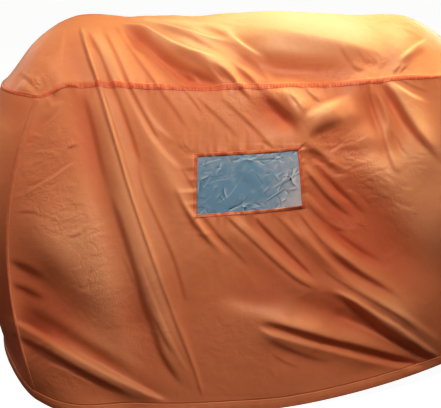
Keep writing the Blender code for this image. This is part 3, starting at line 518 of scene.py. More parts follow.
# %% Folded roof
def roof(s, w, fine=True):
    one = np.ones_like(s)
    along, across = (s + 1.0) / 2.0, (w + 1.0) / 2.0
    front_edge, back_edge = bare_wall(s, one, -1), bare_wall(s, one, 1)
    left_edge, right_edge = bare_end(w, one, -1), bare_end(w, one, 1)
    place = (mix(front_edge, back_edge, across[..., None])
             + mix(left_edge, right_edge, along[..., None]))
    for corner_s, share_s in ((-1.0, 1.0 - along), (1.0, along)):
        for side, share_w in ((-1, 1.0 - across), (1, across)):
            corner = bare_wall(np.full_like(s, corner_s), one, side)
            place = place - (share_s * share_w)[..., None] * corner
    run_in = smooth_least(one, (1.0 - np.abs(s)) / RIDGE_RUN_IN, RIDGE_BLEND)
    crown = (1.0 - np.abs(w) ** ROOF_POWER) * run_in
    place[..., 2] += (ROOF_RISE - RIDGE_TILT * s) * crown
    for peak in (-PEAK_SPACING / 2.0, PEAK_SPACING / 2.0):
        away = ((place[..., 0] - peak) ** 2 + place[..., 1] ** 2) / PEAK_RADIUS ** 2
        place[..., 2] += PEAK_RISE * np.exp(-away)
    pushes = 0.0 * s
    for side, folds in ((-1, FRONT_FOLDS), (1, BACK_FOLDS)):
        run = WALL_RUN + HALF_ROOF_RUN * (1.0 - side * w)
        this_side = ease((1.0 + side * w) / ROOF_RUN_IN)
        push = fold_height(place[..., 0], run, folds) * edge_fade(s) * this_side
        if fine:
            push = BROAD_SHARE[side] * push
            seen = in_picture(settled(pushed_out(place, push, run, side)))
            relief = fine_relief(place[..., 0], run, side, seen)
            push = push + relief * corner_fade(s) * this_side
        place = pushed_out(place, push, run, side)
        pushes = pushes + push
    return settled(place), pushes


print("highest point", round(float(roof(*np.meshgrid(np.linspace(-1, 1, 99), np.linspace(-1, 1, 49),
                                                     indexing="ij"), fine=False)[0][..., 2].max()), 3))

# %% [markdown]
# ## Creases drawn over the picture
# The folds of the front are easiest to place where the photograph shows them. Each line
# below goes through a few points of the picture, in pixels, and the cloth that the camera shows
# there is raised or lowered. A shaded line is a narrow strip that turns away from the light, and
# a lit line one that turns towards it. The first number says how steeply, and the second is half
# the strip's width, in pixels of about 2.7 mm. A brow is where the cloth bends from a flatter
# part above to a steeper one below, and its first number is a height in metres.

# %% Long creases of the front
SHADED = (
    (0.12, 1.8, (61, 76), (63, 50), (66, 25)),
    (0.55, 1.8, (79, 26), (84, 45), (89, 62), (95, 78), (104, 110), (115, 145), (127, 185),
     (139, 222), (152, 260), (166, 298), (178, 330), (187, 352), (196, 376), (202, 398)),
    (0.40, 2.8, (85, 28), (93, 42), (100, 54), (109, 76), (119, 100), (130, 130), (137, 152),
     (141, 172)),
    (0.35, 2.0, (137, 158), (142, 186), (152, 210), (163, 234), (172, 255), (181, 282), (186, 305)),
    (0.40, 2.0, (103, 28), (112, 45), (120, 62), (128, 82), (140, 106), (152, 128), (160, 142)),
    (0.20, 2.4, (112, 23), (121, 34), (133, 52), (147, 72), (160, 90), (176, 112), (190, 134)),
    (0.26, 1.3, (134, 39), (148, 52), (160, 64), (170, 74), (180, 84), (192, 99), (205, 117)),
    (0.80, 4.2, (118, 20), (132, 31), (142, 39), (155, 48), (168, 57), (182, 65), (197, 72), (215, 80),
     (232, 90)),
    (0.55, 7.0, (150, 42), (172, 54), (194, 64), (220, 76), (236, 84)),
    (0.45, 3.0, (164, 60), (180, 69), (196, 76), (212, 84)),
    (0.22, 3.5, (150, 28), (168, 35), (188, 43), (206, 49), (230, 59)),
    (0.25, 3.0, (188, 33), (205, 31), (220, 36), (232, 43)),
    (0.45, 2.0, (183, 68), (191, 75), (200, 83)),
    (0.60, 2.6, (210, 65), (222, 72), (233, 80), (244, 92), (258, 108)),
    (0.50, 2.6, (228, 61), (239, 69), (249, 77), (258, 86), (266, 95)),
    (0.25, 3.5, (230, 50), (245, 58), (258, 66), (266, 76), (272, 86)),
    (0.16, 2.4, (192, 92), (208, 108), (224, 123), (242, 142)),
    (0.20, 2.5, (216, 92), (232, 108), (248, 122), (264, 138), (274, 148)),
    (0.85, 5.5, (260, 87), (270, 98), (282, 110), (292, 122), (300, 138)),
    (0.30, 2.5, (285, 92), (296, 104), (302, 116)),
    (0.50, 8.0, (303, 141), (317, 131), (331, 124), (349, 119)),
    (0.50, 5.0, (302, 142), (316, 153), (331, 165), (348, 176)),
    (0.40, 6.5, (274, 86), (284, 100), (292, 113), (299, 128)),
    (0.25, 2.5, (300, 84), (313, 97), (322, 104)),
    (0.30, 2.0, (258, 138), (268, 144), (276, 150)),
    (0.55, 3.2, (361, 74), (367, 88), (374, 108), (381, 130), (385, 148), (391, 168), (398, 180)),
    (0.80, 4.2, (375, 74), (385, 87), (394, 100), (405, 118), (416, 135), (430, 152), (444, 168)),
    (0.40, 2.6, (388, 126), (395, 138), (401, 150), (409, 161)),
    (0.22, 1.5, (394, 77), (410, 85), (432, 94)),
    (0.35, 1.4, (393, 74), (401, 65)), (0.35, 1.4, (399, 74), (407, 65)),
    (0.50, 5.0, (372, 84), (378, 100), (384, 120), (388, 140)),
    (0.40, 11.0, (228, 50), (262, 58), (300, 63), (340, 65), (375, 67)),
    (0.30, 2.0, (336, 52), (345, 59), (355, 66)),
    (0.35, 1.8, (350, 63), (357, 69), (366, 70)), (0.30, 1.8, (370, 58), (377, 64), (378, 70)),
    (0.45, 2.6, (301, 165), (310, 176), (320, 188), (332, 200), (346, 211), (358, 219)),
    (0.40, 3.6, (306, 155), (320, 168), (334, 182), (347, 195), (360, 207), (372, 217)),
    (0.30, 2.4, (302, 195), (314, 210), (326, 221), (340, 229), (356, 236)),
    (0.45, 2.4, (296, 210), (304, 219), (313, 230), (323, 242), (334, 254)),
    (0.60, 4.6, (322, 238), (334, 252), (347, 263), (361, 273), (376, 282), (393, 293), (412, 308)),
    (0.35, 3.6, (328, 224), (342, 235), (356, 245), (371, 255), (388, 264)),
    (0.28, 1.5, (322, 268), (335, 278), (350, 288), (365, 297), (382, 307), (400, 318), (420, 333)),
    (0.60, 5.0, (318, 292), (338, 296), (352, 304), (366, 315), (381, 327), (397, 338), (413, 347),
     (431, 358), (446, 366)),
    (0.34, 13.0, (300, 300), (330, 308), (355, 320), (385, 336), (415, 352), (446, 370)),
    (0.50, 3.6, (258, 321), (275, 325), (292, 330), (312, 336), (334, 342), (360, 348), (390, 356),
     (412, 362), (431, 367), (446, 370)),
    (0.20, 4.0, (258, 333), (275, 343), (292, 351), (315, 359), (340, 365)),
    (0.15, 2.0, (268, 352), (284, 362), (302, 369)),
    (0.40, 2.0, (224, 214), (235, 225), (247, 236), (259, 247), (272, 259), (287, 272), (302, 283),
     (320, 291)),
    (0.55, 2.5, (251, 213), (262, 225), (272, 236), (283, 246), (294, 257), (305, 268), (317, 280)),
    (0.18, 2.0, (270, 212), (281, 221), (292, 232), (303, 244), (313, 256)),
    (0.22, 2.0, (214, 231), (225, 242), (238, 255), (252, 268)),
    (0.45, 3.2, (172, 184), (179, 198), (187, 213), (197, 228), (208, 241), (222, 254)),
    (0.32, 1.8, (199, 213), (208, 223), (218, 235), (230, 248)),
    (0.30, 1.5, (174, 160), (183, 172), (191, 184), (197, 193)),
    (0.30, 1.3, (182, 143), (188, 149), (195, 156)), (0.22, 1.3, (175, 141), (184, 150), (191, 156)),
    (0.30, 3.0, (84, 92), (89, 112), (96, 138), (102, 164), (110, 194)),
    (0.45, 3.8, (109, 190), (117, 212), (124, 234), (131, 256), (138, 280), (144, 302), (153, 328),
     (161, 352), (171, 370), (184, 388)),
    (0.22, 1.5, (122, 254), (129, 272), (136, 290)),
    (0.35, 2.2, (148, 306), (157, 324), (166, 342), (175, 358)),
    (0.30, 10.0, (13, 296), (40, 316), (70, 335), (100, 353), (130, 371), (155, 386)),
    (0.26, 30.0, (2, 215), (50, 268), (85, 308), (110, 348)),
    (0.45, 4.0, (0, 330), (13, 336), (28, 343), (46, 352), (64, 362), (82, 372), (100, 381),
     (118, 390), (138, 399)),
    (0.32, 5.0, (2, 258), (26, 268), (48, 281)), (0.28, 5.0, (2, 281), (26, 291), (46, 302)),
    (0.25, 1.6, (14, 213), (27, 212), (41, 214)),
    (0.85, 5.0, (12, 92), (23, 98), (35, 107)),
    (0.50, 1.6, (18, 71), (26, 79), (33, 86), (41, 95)), (0.40, 1.4, (31, 77), (37, 85), (43, 84)),
    (0.35, 2.5, (52, 108), (51, 98), (56, 88)),
    (0.30, 1.6, (66, 148), (72, 147), (78, 143)), (0.28, 1.6, (66, 236), (76, 236), (85, 229)),
    (0.30, 30.0, (335, 135), (362, 175), (390, 215), (418, 255), (446, 290)),
)
LIT = (
    (0.45, 2.4, (82, 26), (88, 44), (94, 62), (100, 79), (109, 110), (119, 144), (130, 182), (143, 222),
     (157, 260), (172, 299), (184, 332), (190, 352), (198, 376), (204, 398)),
    (0.25, 3.0, (96, 26), (106, 42), (115, 62), (125, 86), (136, 108), (148, 130), (162, 150),
     (178, 166), (192, 186)),
    (0.15, 3.0, (140, 100), (152, 118), (164, 132), (182, 146)),
    (0.45, 2.5, (116, 19), (130, 26), (145, 34), (160, 42), (173, 50), (187, 56), (202, 59), (220, 61)),
    (0.40, 2.0, (138, 21), (160, 28), (176, 33), (191, 37), (206, 40), (226, 43)),
    (0.30, 1.5, (191, 70), (199, 77), (207, 84)), (0.30, 1.5, (206, 67), (217, 75), (228, 83)),
    (0.40, 2.8, (224, 31), (235, 40), (246, 48), (257, 55), (270, 61)),
    (0.35, 3.0, (396, 62), (406, 54), (417, 45), (430, 36)),
    (0.38, 4.0, (300, 124), (312, 115), (324, 107), (338, 100), (354, 92)),
    (0.25, 3.5, (370, 78), (379, 94), (390, 112), (401, 130), (411, 147)),
    (0.28, 3.0, (384, 78), (399, 88), (415, 97), (432, 104)),
    (0.50, 3.2, (301, 156), (312, 168), (323, 180), (336, 192), (349, 201), (362, 211)),
    (0.35, 2.6, (301, 186), (312, 198), (323, 209), (334, 218)),
    (0.50, 3.4, (318, 220), (330, 233), (343, 244), (356, 254), (370, 263), (391, 273)),
    (0.40, 4.2, (300, 222), (313, 240), (327, 256), (342, 270), (358, 283), (376, 295), (396, 308),
     (415, 321), (432, 334), (446, 344)),
    (0.55, 2.8, (330, 288), (347, 295), (362, 304), (377, 314), (392, 323), (408, 334),
     (431, 350), (446, 360)),
    (0.25, 3.0, (328, 314), (350, 322), (370, 331), (391, 341), (411, 352), (428, 361)),
    (0.60, 3.2, (255, 325), (270, 332), (286, 337), (303, 342), (322, 347), (345, 353), (372, 360),
     (400, 366), (431, 371), (446, 374)),
    (0.16, 12.0, (212, 298), (240, 306), (268, 311), (292, 309)),
    (0.40, 2.4, (262, 239), (276, 252), (289, 264), (301, 274), (320, 287)),
    (0.30, 2.4, (233, 213), (246, 225), (259, 236), (272, 247)),
    (0.25, 2.4, (281, 213), (293, 226), (305, 240)),
    (0.42, 3.4, (179, 194), (187, 206), (197, 219), (208, 233), (220, 247), (232, 259)),
    (0.32, 1.5, (140, 262), (148, 284), (156, 304), (166, 328), (176, 349), (190, 374)),
    (0.60, 3.4, (-2, 314), (12, 321), (30, 330), (47, 339), (64, 348), (82, 358), (99, 367),
     (116, 376), (136, 386), (156, 396), (174, 404)),
    (0.22, 2.6, (38, 360), (60, 367), (80, 377), (98, 388)),
    (0.40, 2.6, (12, 137), (22, 124), (32, 111), (39, 99), (45, 88)),
    (0.30, 1.4, (20, 197), (36, 186), (52, 177), (66, 167), (76, 160)),
    (0.20, 2.0, (44, 126), (54, 117), (62, 106)),
)
BROWS = (
    (0.0120, 7.5, (190, 20), (215, 25), (245, 33), (275, 40), (305, 45), (335, 49), (365, 52), (385, 57),
     (397, 66)),
    (0.0036, 4.5, (396, 66), (406, 57), (417, 50), (432, 44)),
    (0.0060, 6.5, (122, 18), (142, 29), (162, 40), (182, 50), (202, 57), (226, 62)),
    (0.0030, 3.5, (150, 18), (175, 27), (200, 36), (225, 43), (246, 50)),
    (0.0055, 6.0, (297, 131), (312, 121), (324, 114), (338, 106), (355, 96)),
    (0.0030, 4.0, (232, 66), (250, 74), (268, 80), (290, 82)),
)
STEEPNESS, PIXEL = 2.2, 0.0027


def on_picture(point):
    return np.array([point[0], -point[1]], float)


long_creases = [([on_picture(point) for point in points], half_width,
                 STEEPNESS * slope * half_width * PIXEL, shape)
                for shape, lines in (("shaded", SHADED), ("lit", LIT))
                for slope, half_width, *points in lines]
long_creases += [([on_picture(point) for point in points], half_width, height, "brow")
                 for height, half_width, *points in BROWS]
print(len(long_creases), "long creases on the front")

# %% Short wrinkles of the front
# Each patch: middle and reach in pixels, direction and its spread in degrees, number, slope.
WRINKLED = (
    ((45, 142), (30, 18), 15, 25, 26, 0.20),
    ((42, 185), (34, 26), 25, 18, 26, 0.20),
    ((66, 222), (30, 18), 15, 28, 30, 0.20),
    ((95, 262), (22, 26), 28, 22, 32, 0.18),
    ((108, 300), (22, 22), 25, 32, 24, 0.16),
    ((350, 162), (38, 14), -4, 22, 46, 0.24),
    ((376, 190), (30, 20), -28, 22, 46, 0.24),
    ((345, 228), (20, 10), -18, 20, 16, 0.20),
    ((402, 226), (22, 26), -60, 20, 18, 0.16),
    ((335, 142), (26, 12), 28, 14, 18, 0.24),
    ((418, 158), (12, 14), 4, 16, 16, 0.24),
    ((40, 82), (15, 8), -35, 22, 14, 0.26),
    ((364, 64), (12, 5), -30, 60, 12, 0.24),
    ((330, 75), (34, 5), 30, 32, 24, 0.20),
    ((272, 96), (26, 6), -40, 30, 16, 0.20),
    ((140, 335), (26, 30), -45, 30, 24, 0.12),
    ((60, 380), (40, 12), -25, 20, 18, 0.16),
    ((200, 234), (10, 6), -15, 20, 12, 0.18),
    ((250, 110), (60, 12), -45, 20, 22, 0.12),
    ((240, 340), (60, 26), -10, 50, 26, 0.08),
)


def short_creases(patches, length, half_width, seed, scale):
    """Scattered little creases, half of them shaded and half lit."""
    chance = np.random.default_rng(seed)
    made = []
    for middle, reach, direction, spread_angle, count, slope in patches:
        for _ in range(count):
            start = np.array(middle) + chance.normal(0.0, 0.5, 2) * reach
            angle = math.radians(direction + chance.normal(0.0, spread_angle))
            size = length * chance.uniform(0.5, 1.5)
            step = size * np.array([math.cos(angle), -math.sin(angle)])
            sideways = size * chance.normal(0.0, 0.12) * np.array([step[1], -step[0]]) / size
            width = half_width * chance.uniform(0.7, 1.4)
            made.append(([on_picture(start - step / 2), on_picture(start + sideways),
                          on_picture(start + step / 2)],
                         width, slope * chance.uniform(0.5, 1.5) * width * scale,
                         "shaded" if chance.random() < 0.5 else "lit"))
    return made


front_creases = long_creases + short_creases(WRINKLED, 20.0, 1.1, 17, PIXEL)
print(len(front_creases), "creases and wrinkles on the front")

# %% Short wrinkles of the back and the ends
BACK_WRINKLED = (
    ((-0.40, -0.50), (0.16, 0.16), 20, 40, 40, 0.20), ((0.42, -0.46), (0.16, 0.18), -20, 40, 40, 0.20),
    ((0.00, -0.55), (0.30, 0.10), 0, 40, 30, 0.14), ((-0.10, -0.20), (0.35, 0.10), 10, 40, 30, 0.14),
    ((0.35, -0.84), (0.12, 0.05), 30, 40, 20, 0.20), ((-0.30, -0.86), (0.14, 0.05), -30, 40, 20, 0.20),
)
END_WRINKLED = (
    ((-0.14, -0.40), (0.10, 0.16), 30, 40, 40, 0.20), ((0.12, -0.34), (0.10, 0.18), -30, 40, 40, 0.20),
    ((0.00, -0.16), (0.20, 0.06), 0, 40, 24, 0.16),
)


back_creases = [*BACK_CREASES, *short_creases(BACK_WRINKLED, 0.050, 0.0032, 18, 1.0)]
end_creases = [*END_CREASES, *short_creases(END_WRINKLED, 0.044, 0.0032, 19, 1.0)]
print(len(back_creases), "on the back and", len(end_creases), "on each end")


# %% [markdown]
# ## Lines of cells
# A line's number t runs from -1 to 1 across a panel, and its last band on each side is always
# half a seam tape wide, so the seam pieces can follow the panel's own lines. The window's edges
# fall on lines too, which leaves a clean opening when the cells between them are left out.

# %% Line numbers
def from_line(t, half_size):
    inner = 1.0 - TAPE_WIDTH / 2.0 / half_size
    beyond = 1.0 - (1.0 - np.abs(t)) / (1.0 - CORNER_BAND) * (1.0 - inner)
    return np.where(np.abs(t) > CORNER_BAND, np.sign(t) * beyond, t / CORNER_BAND * inner)


def to_line(x, half_size):
    return x / half_size * CORNER_BAND / (1.0 - TAPE_WIDTH / 2.0 / half_size)


def spread(marks, cells):
    """Lines through every mark, with even steps between them and about this many cells."""
    pitch = (marks[-1] - marks[0]) / cells
    lines = [marks[0]]
    for low, high in zip(marks, marks[1:]):
        steps = max(1, round((high - low) / pitch))
        lines += [low + (high - low) * (i + 1) / steps for i in range(steps)]
    return np.array(lines)


def edges(centre, size, scale):
    """Outer and inner edges of the binding, in order."""
    return [centre + scale(offset) for offset in (-size / 2 - BINDING_WIDTH, -size / 2,
                                                  size / 2, size / 2 + BINDING_WIDTH)]


width_here = half_length(WINDOW_CENTRE)
WINDOW_SIDES = [to_line(WINDOW_X + offset, width_here)
                for offset in edges(0.0, WINDOW_WIDTH, lambda offset: offset)]
SLANT = math.hypot(SEAM_HEIGHT, FRONT_HEM_DEPTH - SEAM_DEPTH)
WINDOW_LEVELS = edges(WINDOW_CENTRE, WINDOW_HEIGHT, lambda offset: offset / SLANT)
HEM_TOP = HEM_HEIGHT / SEAM_HEIGHT
TAPE_TOP = 1.0 - TAPE_WIDTH / 2.0 / SEAM_HEIGHT
print("window lines", np.round(WINDOW_SIDES, 3), np.round(WINDOW_LEVELS, 3))


# %% Places on each panel by line number
def wall_places(side):
    return lambda t, v, fine=True: wall(from_line(t, half_length(v)), v, side, fine)


def end_places(side):
    return lambda t, v, fine=True: end_wall(from_line(t, corner_depth(v)), v, side, fine)


front_place, back_place = wall_places(-1), wall_places(1)
left_place, right_place = end_places(-1), end_places(1)


def roof_place(t, d, fine=True):
    return roof(from_line(t, SEAM_HALF_LENGTH), from_line(d, SEAM_CORNER_DEPTH), fine)


print("panels by line number: front, back, left, right, roof")

# %% [markdown]
# ## Finishes
# Shader maths is easier to read as sums and products, so a small class wraps a socket and turns
# each operator into a Math node. All other nodes come from one method.


# %% Sockets that can be added and multiplied
class Wire:
    """The output of a node in one finish."""

    def __init__(self, finish, socket):
        self.finish, self.socket = finish, socket

    def maths(self, operation, *values):
        return self.finish.node("ShaderNodeMath", {"operation": operation}, dict(enumerate(values)))

    def __add__(self, other):
        return self.maths("ADD", self, other)

    def __sub__(self, other):
        return self.maths("SUBTRACT", self, other)

    def __rsub__(self, other):
        return self.maths("SUBTRACT", other, self)

    def __mul__(self, other):
        return self.maths("MULTIPLY", self, other)

    def __pow__(self, other):
        return self.maths("POWER", self, other)

    __radd__, __rmul__ = __add__, __mul__

    def size(self):
        return self.maths("ABSOLUTE", self)

    def sine(self):
        return self.maths("SINE", self)

    def limited(self):
        return self.maths("MINIMUM", self.maths("MAXIMUM", self, 0.0), 1.0)


class Finish:
    """A material while it is being made."""

    def __init__(self, name, **constants):
        self.material = bpy.data.materials.new(name)
        self.material.use_nodes = True
        self.tree = self.material.node_tree
        self.shader = self.tree.nodes["Principled BSDF"]
        for socket, value in constants.items():
            self.shader.inputs[socket.replace("_", " ")].default_value = value

    def node(self, kind, settings, values, out=0):
        made = self.tree.nodes.new(kind)
        for name, value in settings.items():
            if name == "stops":
                for position, brightness in value:
                    if position in (0.0, 1.0):
                        stop = made.color_ramp.elements[int(position)]
                    else:
                        stop = made.color_ramp.elements.new(position)
                    stop.color = (brightness, brightness, brightness, 1.0)
            else:
                setattr(made, name, value)
        for key, value in values.items():
            if isinstance(value, Wire):
                self.tree.links.new(value.socket, made.inputs[key])
            else:
                made.inputs[key].default_value = value
        return Wire(self, made.outputs[out])

    def position(self):
        return self.node("ShaderNodeTexCoord", {}, {}, "Object")

    def part_of(self, vector, axis):
        return self.node("ShaderNodeSeparateXYZ", {}, {0: vector}, axis)

    def noise(self, vector, scale, detail=3.0, roughness=0.55, distortion=0.0):
        return self.node("ShaderNodeTexNoise", {}, {"Vector": vector, "Scale": scale,
                         "Detail": detail, "Roughness": roughness, "Distortion": distortion})

    def cloth_map(self):
        return self.node("ShaderNodeUVMap", {"uv_map": "cloth"}, {})

    def attribute(self, name):
        return self.node("ShaderNodeAttribute", {"attribute_name": name}, {}, "Fac")

    def blend(self, share, first, second):
        return self.node("ShaderNodeMix", {"data_type": "RGBA"}, {0: share, 6: first, 7: second}, 2)

    def stretch(self, vector, scale):
        return self.node("ShaderNodeMapping", {}, {"Vector": vector, "Scale": scale})

    def connect(self, wire, socket):
        self.tree.links.new(wire.socket, self.shader.inputs[socket])

    def raise_by(self, height, distance, strength=1.0):
        """Bump the surface by a height from 0 to 1."""
        bump = self.node("ShaderNodeBump", {}, {"Strength": strength, "Distance": distance,
                                                "Height": height}, "Normal")
        self.connect(bump, "Normal")


print("the finish maker is ready")

# %% [markdown]
# ### Coated nylon
# The cloth is a very fine plain weave with a smooth coating. It is a warm orange where it lies
# flat. Painted shade makes it darker and redder in the hollows of the folds, and painted highlight
# makes it paler on their crests. The folds are known from the geometry, which stores how far each
# place stands out in an attribute. Faces that turn downwards get painted shade too. Wrinkles
# too small for the mesh, and the weave, are bump.


# %% Nylon
WEAVE_WAVES, GRID_WAVES, GRID_POWER = 5200.0, 1100.0, 12.0


def colour(red, green, blue):
    return (red, green, blue, 1.0)


def make_nylon(name, crest, flat, valley):
    nylon = Finish(name, Roughness=0.46, Specular_IOR_Level=0.36, Sheen_Weight=0.04,
                   Sheen_Roughness=0.4, Coat_Weight=0.06, Coat_Roughness=0.30)
    position = nylon.position()
    relief = nylon.attribute("relief")
    uv = nylon.cloth_map()
    blotches = nylon.noise(position, 7.0)
    uneven = (blotches - 0.5) * 0.4
    # Painted shade in the hollows of the folds and painted highlight on their crests, from the relief
    # attribute.
    painted_hollow_shade = (0.05 - relief * 0.30 + uneven).limited()
    raised = (relief * 0.5 + uneven).limited()
    tone = nylon.blend(raised, nylon.blend(painted_hollow_shade, colour(*flat), colour(*valley)), colour(*crest))
    # Faces that turn downwards are mixed towards the valley colour: painted shade on the undersides, so
    # the tops stay lighter.
    facing_up = nylon.part_of(nylon.node("ShaderNodeNewGeometry", {}, {}, "Normal"), "Z")
    painted_top_light = ((facing_up - 0.05) * 1.4).limited()
    tone = nylon.blend(painted_top_light, nylon.blend(0.45, tone, colour(*valley)), tone)
    nylon.connect(tone, "Base Color")
    creased = nylon.noise(position, 34.0, 5.0, 0.62, 0.9)
    ridges = 1.0 - (creased - 0.5).size() * 4.0
    across, up = (nylon.part_of(uv, axis) for axis in ("X", "Y"))
    thread = (across * WEAVE_WAVES).sine() * (up * WEAVE_WAVES).sine()
    grid = ((across * GRID_WAVES).sine() ** GRID_POWER) + ((up * GRID_WAVES).sine() ** GRID_POWER)
    crushed = nylon.attribute("crinkle")
    nylon.raise_by(ridges * crushed * 2.1 + thread * 0.04 + grid * 0.05, 0.0009, 0.6)
    nylon.connect(0.42 + blotches * 0.16 + grid * 0.03, "Roughness")
    return nylon.material


# The crest colours are painted highlight and the valley colours painted shade.
shell_nylon = make_nylon("shell_nylon", (0.89, 0.410, 0.185), (0.85, 0.310, 0.120),
                         (0.68, 0.130, 0.045))
seam_nylon = make_nylon("seam_nylon", (0.88, 0.360, 0.150), (0.85, 0.270, 0.100),
                         (0.78, 0.110, 0.042))
print("nylon with", len(shell_nylon.node_tree.nodes), "nodes")

# %% [markdown]
# ## Making cloth pieces
# Each piece is a grid of places with a texture map in metres and the relief attribute, and a
# live Solidify modifier gives it the thickness of cloth. A grid is the simplest mesh that can
# carry folds, and its lines double as the lines of the weave.

# %% Outward directions
INSIDE = np.array([0.0, PLAN_SHIFT, 0.35])


def outward_normals(places, inner=INSIDE):
    """Unit vectors square to a grid of places, on the side away from the inner point."""
    normal = np.cross(np.gradient(places, axis=0), np.gradient(places, axis=1))
    normal /= np.maximum(np.linalg.norm(normal, axis=-1, keepdims=True), 1e-12)
    return normal if np.sum(normal * (places - inner)) > 0 else -normal


print("outward from", INSIDE)


# %% Grid to mesh
def grid_piece(name, places, lengths, relief, finish, thickness, start=0.0, outward=False,
               hole=None, inner=INSIDE, rim_only=False, crinkle=None):
    """A sheet through the places, which gets its thickness from start outwards or inwards."""
    rows, columns = places.shape[:2]
    number = np.arange(rows * columns).reshape(rows, columns)
    quads = np.stack([number[:-1, :-1], number[1:, :-1], number[1:, 1:], number[:-1, 1:]], -1)
    keep = np.ones(quads.shape[:2], bool)
    if hole is not None:
        (i0, i1), (j0, j1) = hole
        keep[i0:i1, j0:j1] = False
    quads = quads[keep]
    points = places.reshape(-1, 3)
    a, b, c = points[quads[:, 0]], points[quads[:, 1]], points[quads[:, 3]]
    if np.sum(np.cross(b - a, c - a) * (a - inner)) < 0:
        quads = quads[:, ::-1]
    used = np.unique(quads)
    renumber = np.zeros(rows * columns, int)
    renumber[used] = np.arange(len(used))
    mesh = bpy.data.meshes.new(name)
    mesh.from_pydata(points[used].tolist(), [], renumber[quads].tolist())
    mesh.shade_smooth()
    mesh.attributes.new("relief", "FLOAT", "POINT").data.foreach_set(
        "value", relief.reshape(-1)[used].astype(np.float32))
    if crinkle is not None:
        mesh.attributes.new("crinkle", "FLOAT", "POINT").data.foreach_set(
            "value", crinkle.reshape(-1)[used].astype(np.float32))
    corners = np.empty(len(mesh.loops), int)
    mesh.loops.foreach_get("vertex_index", corners)
    flat = lengths.reshape(-1, 2)[used][corners]
    mesh.uv_layers.new(name="cloth").data.foreach_set("uv", flat.reshape(-1).astype(np.float32))
    mesh.materials.append(finish)
    piece = add_object(name, mesh)
    solidify = piece.modifiers.new("Thickness", "SOLIDIFY")
    solidify.thickness = thickness
    offset = 1.0 + 2.0 * start / thickness
    solidify.offset = offset if outward else -offset
    solidify.use_rim_only = rim_only
    return piece


def dress(piece, nodes, body=SHELL):
    """Say which nodes a piece stands for and what it moves with."""
    if nodes:
        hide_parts(*nodes)
    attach(piece, body)
    return piece


RELIEF_SCALE = 0.010
print("relief 1 is", RELIEF_SCALE * 1000, "mm")

# %% [markdown]
# ## The five panels
# The front and back walls and the two ends go from the hem to the roof seam, and the roof is one
# piece. The window opening is left out of the front wall, and a round hole for the vent out of
# each end. For the round hole the square grid round it is bent to circles, so the edge is smooth.

# %% Lines of the panels
LONG_CELLS, HIGH_CELLS, DEEP_CELLS, END_HIGH_CELLS = 376, 262, 84, 150
ROOF_CHANGE, ROOF_FRONT_CELLS, ROOF_BACK_CELLS = 0.1, 150, 50
LONG_LINES = spread([-1.0, -CORNER_BAND, *WINDOW_SIDES, CORNER_BAND, 1.0], LONG_CELLS)
HIGH_LINES = spread([HEM_TOP, *WINDOW_LEVELS, TAPE_TOP, 1.0], HIGH_CELLS)
DEEP_LINES = spread([-1.0, -CORNER_BAND, CORNER_BAND, 1.0], DEEP_CELLS)
ROOF_LINES = np.concatenate([spread([-1.0, -CORNER_BAND, ROOF_CHANGE], ROOF_FRONT_CELLS),
                             spread([ROOF_CHANGE, CORNER_BAND, 1.0], ROOF_BACK_CELLS)[1:]])
VENT_HOLE = VENT_RADIUS - VENT_FLANGE / 2.0
SLOPE = np.linalg.norm(np.diff(bare_end(np.zeros(2), VENT_CENTRE + np.array([0.0, 0.001]), 1),
                               axis=0)) / 0.001
END_DEPTH = corner_depth(VENT_CENTRE)
END_LINES = spread([-1.0, -CORNER_BAND, *(to_line(x, END_DEPTH) for x in (
    -VENT_PATCH, -VENT_HOLE, VENT_HOLE, VENT_PATCH)), CORNER_BAND, 1.0], DEEP_CELLS)
END_LEVELS = spread([HEM_TOP, *(VENT_CENTRE + z / SLOPE for z in (
    -VENT_PATCH, -VENT_HOLE, VENT_HOLE, VENT_PATCH)), TAPE_TOP, 1.0], END_HIGH_CELLS)
print(len(LONG_LINES), "by", len(HIGH_LINES), "lines on a wall,", len(END_LINES), "by",
      len(END_LEVELS), "on an end")


# %% Making the panels
def index_of(lines, value):
    return int(np.argmin(np.abs(lines - value)))


def rounded_hole(w, v):
    """Bend the lines round a vent so that the square of the hole's size becomes a circle."""
    across, up = w * END_DEPTH / VENT_PATCH, (v - VENT_CENTRE) * SLOPE / VENT_PATCH
    square = np.maximum(np.abs(across), np.abs(up))
    circle = np.hypot(across, up)
    share = 1.0 - ramp(square, VENT_HOLE / VENT_PATCH, 1.0)
    shrink = 1.0 + share * (square / np.maximum(circle, 1e-9) - 1.0)
    return (np.where(square < 1.0, w * shrink, w),
            np.where(square < 1.0, VENT_CENTRE + (v - VENT_CENTRE) * shrink, v))


def holed_end(side):
    return lambda t, v: end_wall(*rounded_hole(from_line(t, corner_depth(v)), v), side)


PLAIN_CRINKLE, CRINKLE_GAIN, CRINKLE_FOCUS = 0.12, 3.5, 0.7


def crinkled(seen):
    """How finely crushed the cloth is, from 0 to 1."""
    total = np.full(seen.shape[:-1], PLAIN_CRINKLE)
    for middle, reach, *_, slope in WRINKLED:
        away = (seen - middle) / reach
        total += CRINKLE_GAIN * slope * np.exp(-CRINKLE_FOCUS * np.sum(away ** 2, -1))
    return np.minimum(total, 1.0)


def make_panel(name, node, place, first, second, scale, hole=None):
    t, v = np.meshgrid(first, second, indexing="ij")
    places, push = place(t, v)
    lengths = np.stack([t * scale[0], v * scale[1]], -1)
    piece = grid_piece(name, places, lengths, push / RELIEF_SCALE, shell_nylon, CLOTH, hole=hole,
                       rim_only=name in ("front_cloth", "roof_cloth"),
                       crinkle=crinkled(in_picture(places)))
    dress(piece, [node])
    print(name, len(piece.data.polygons), "cells, folds up to", round(float(push.max()) * 1000), "mm")
    return piece


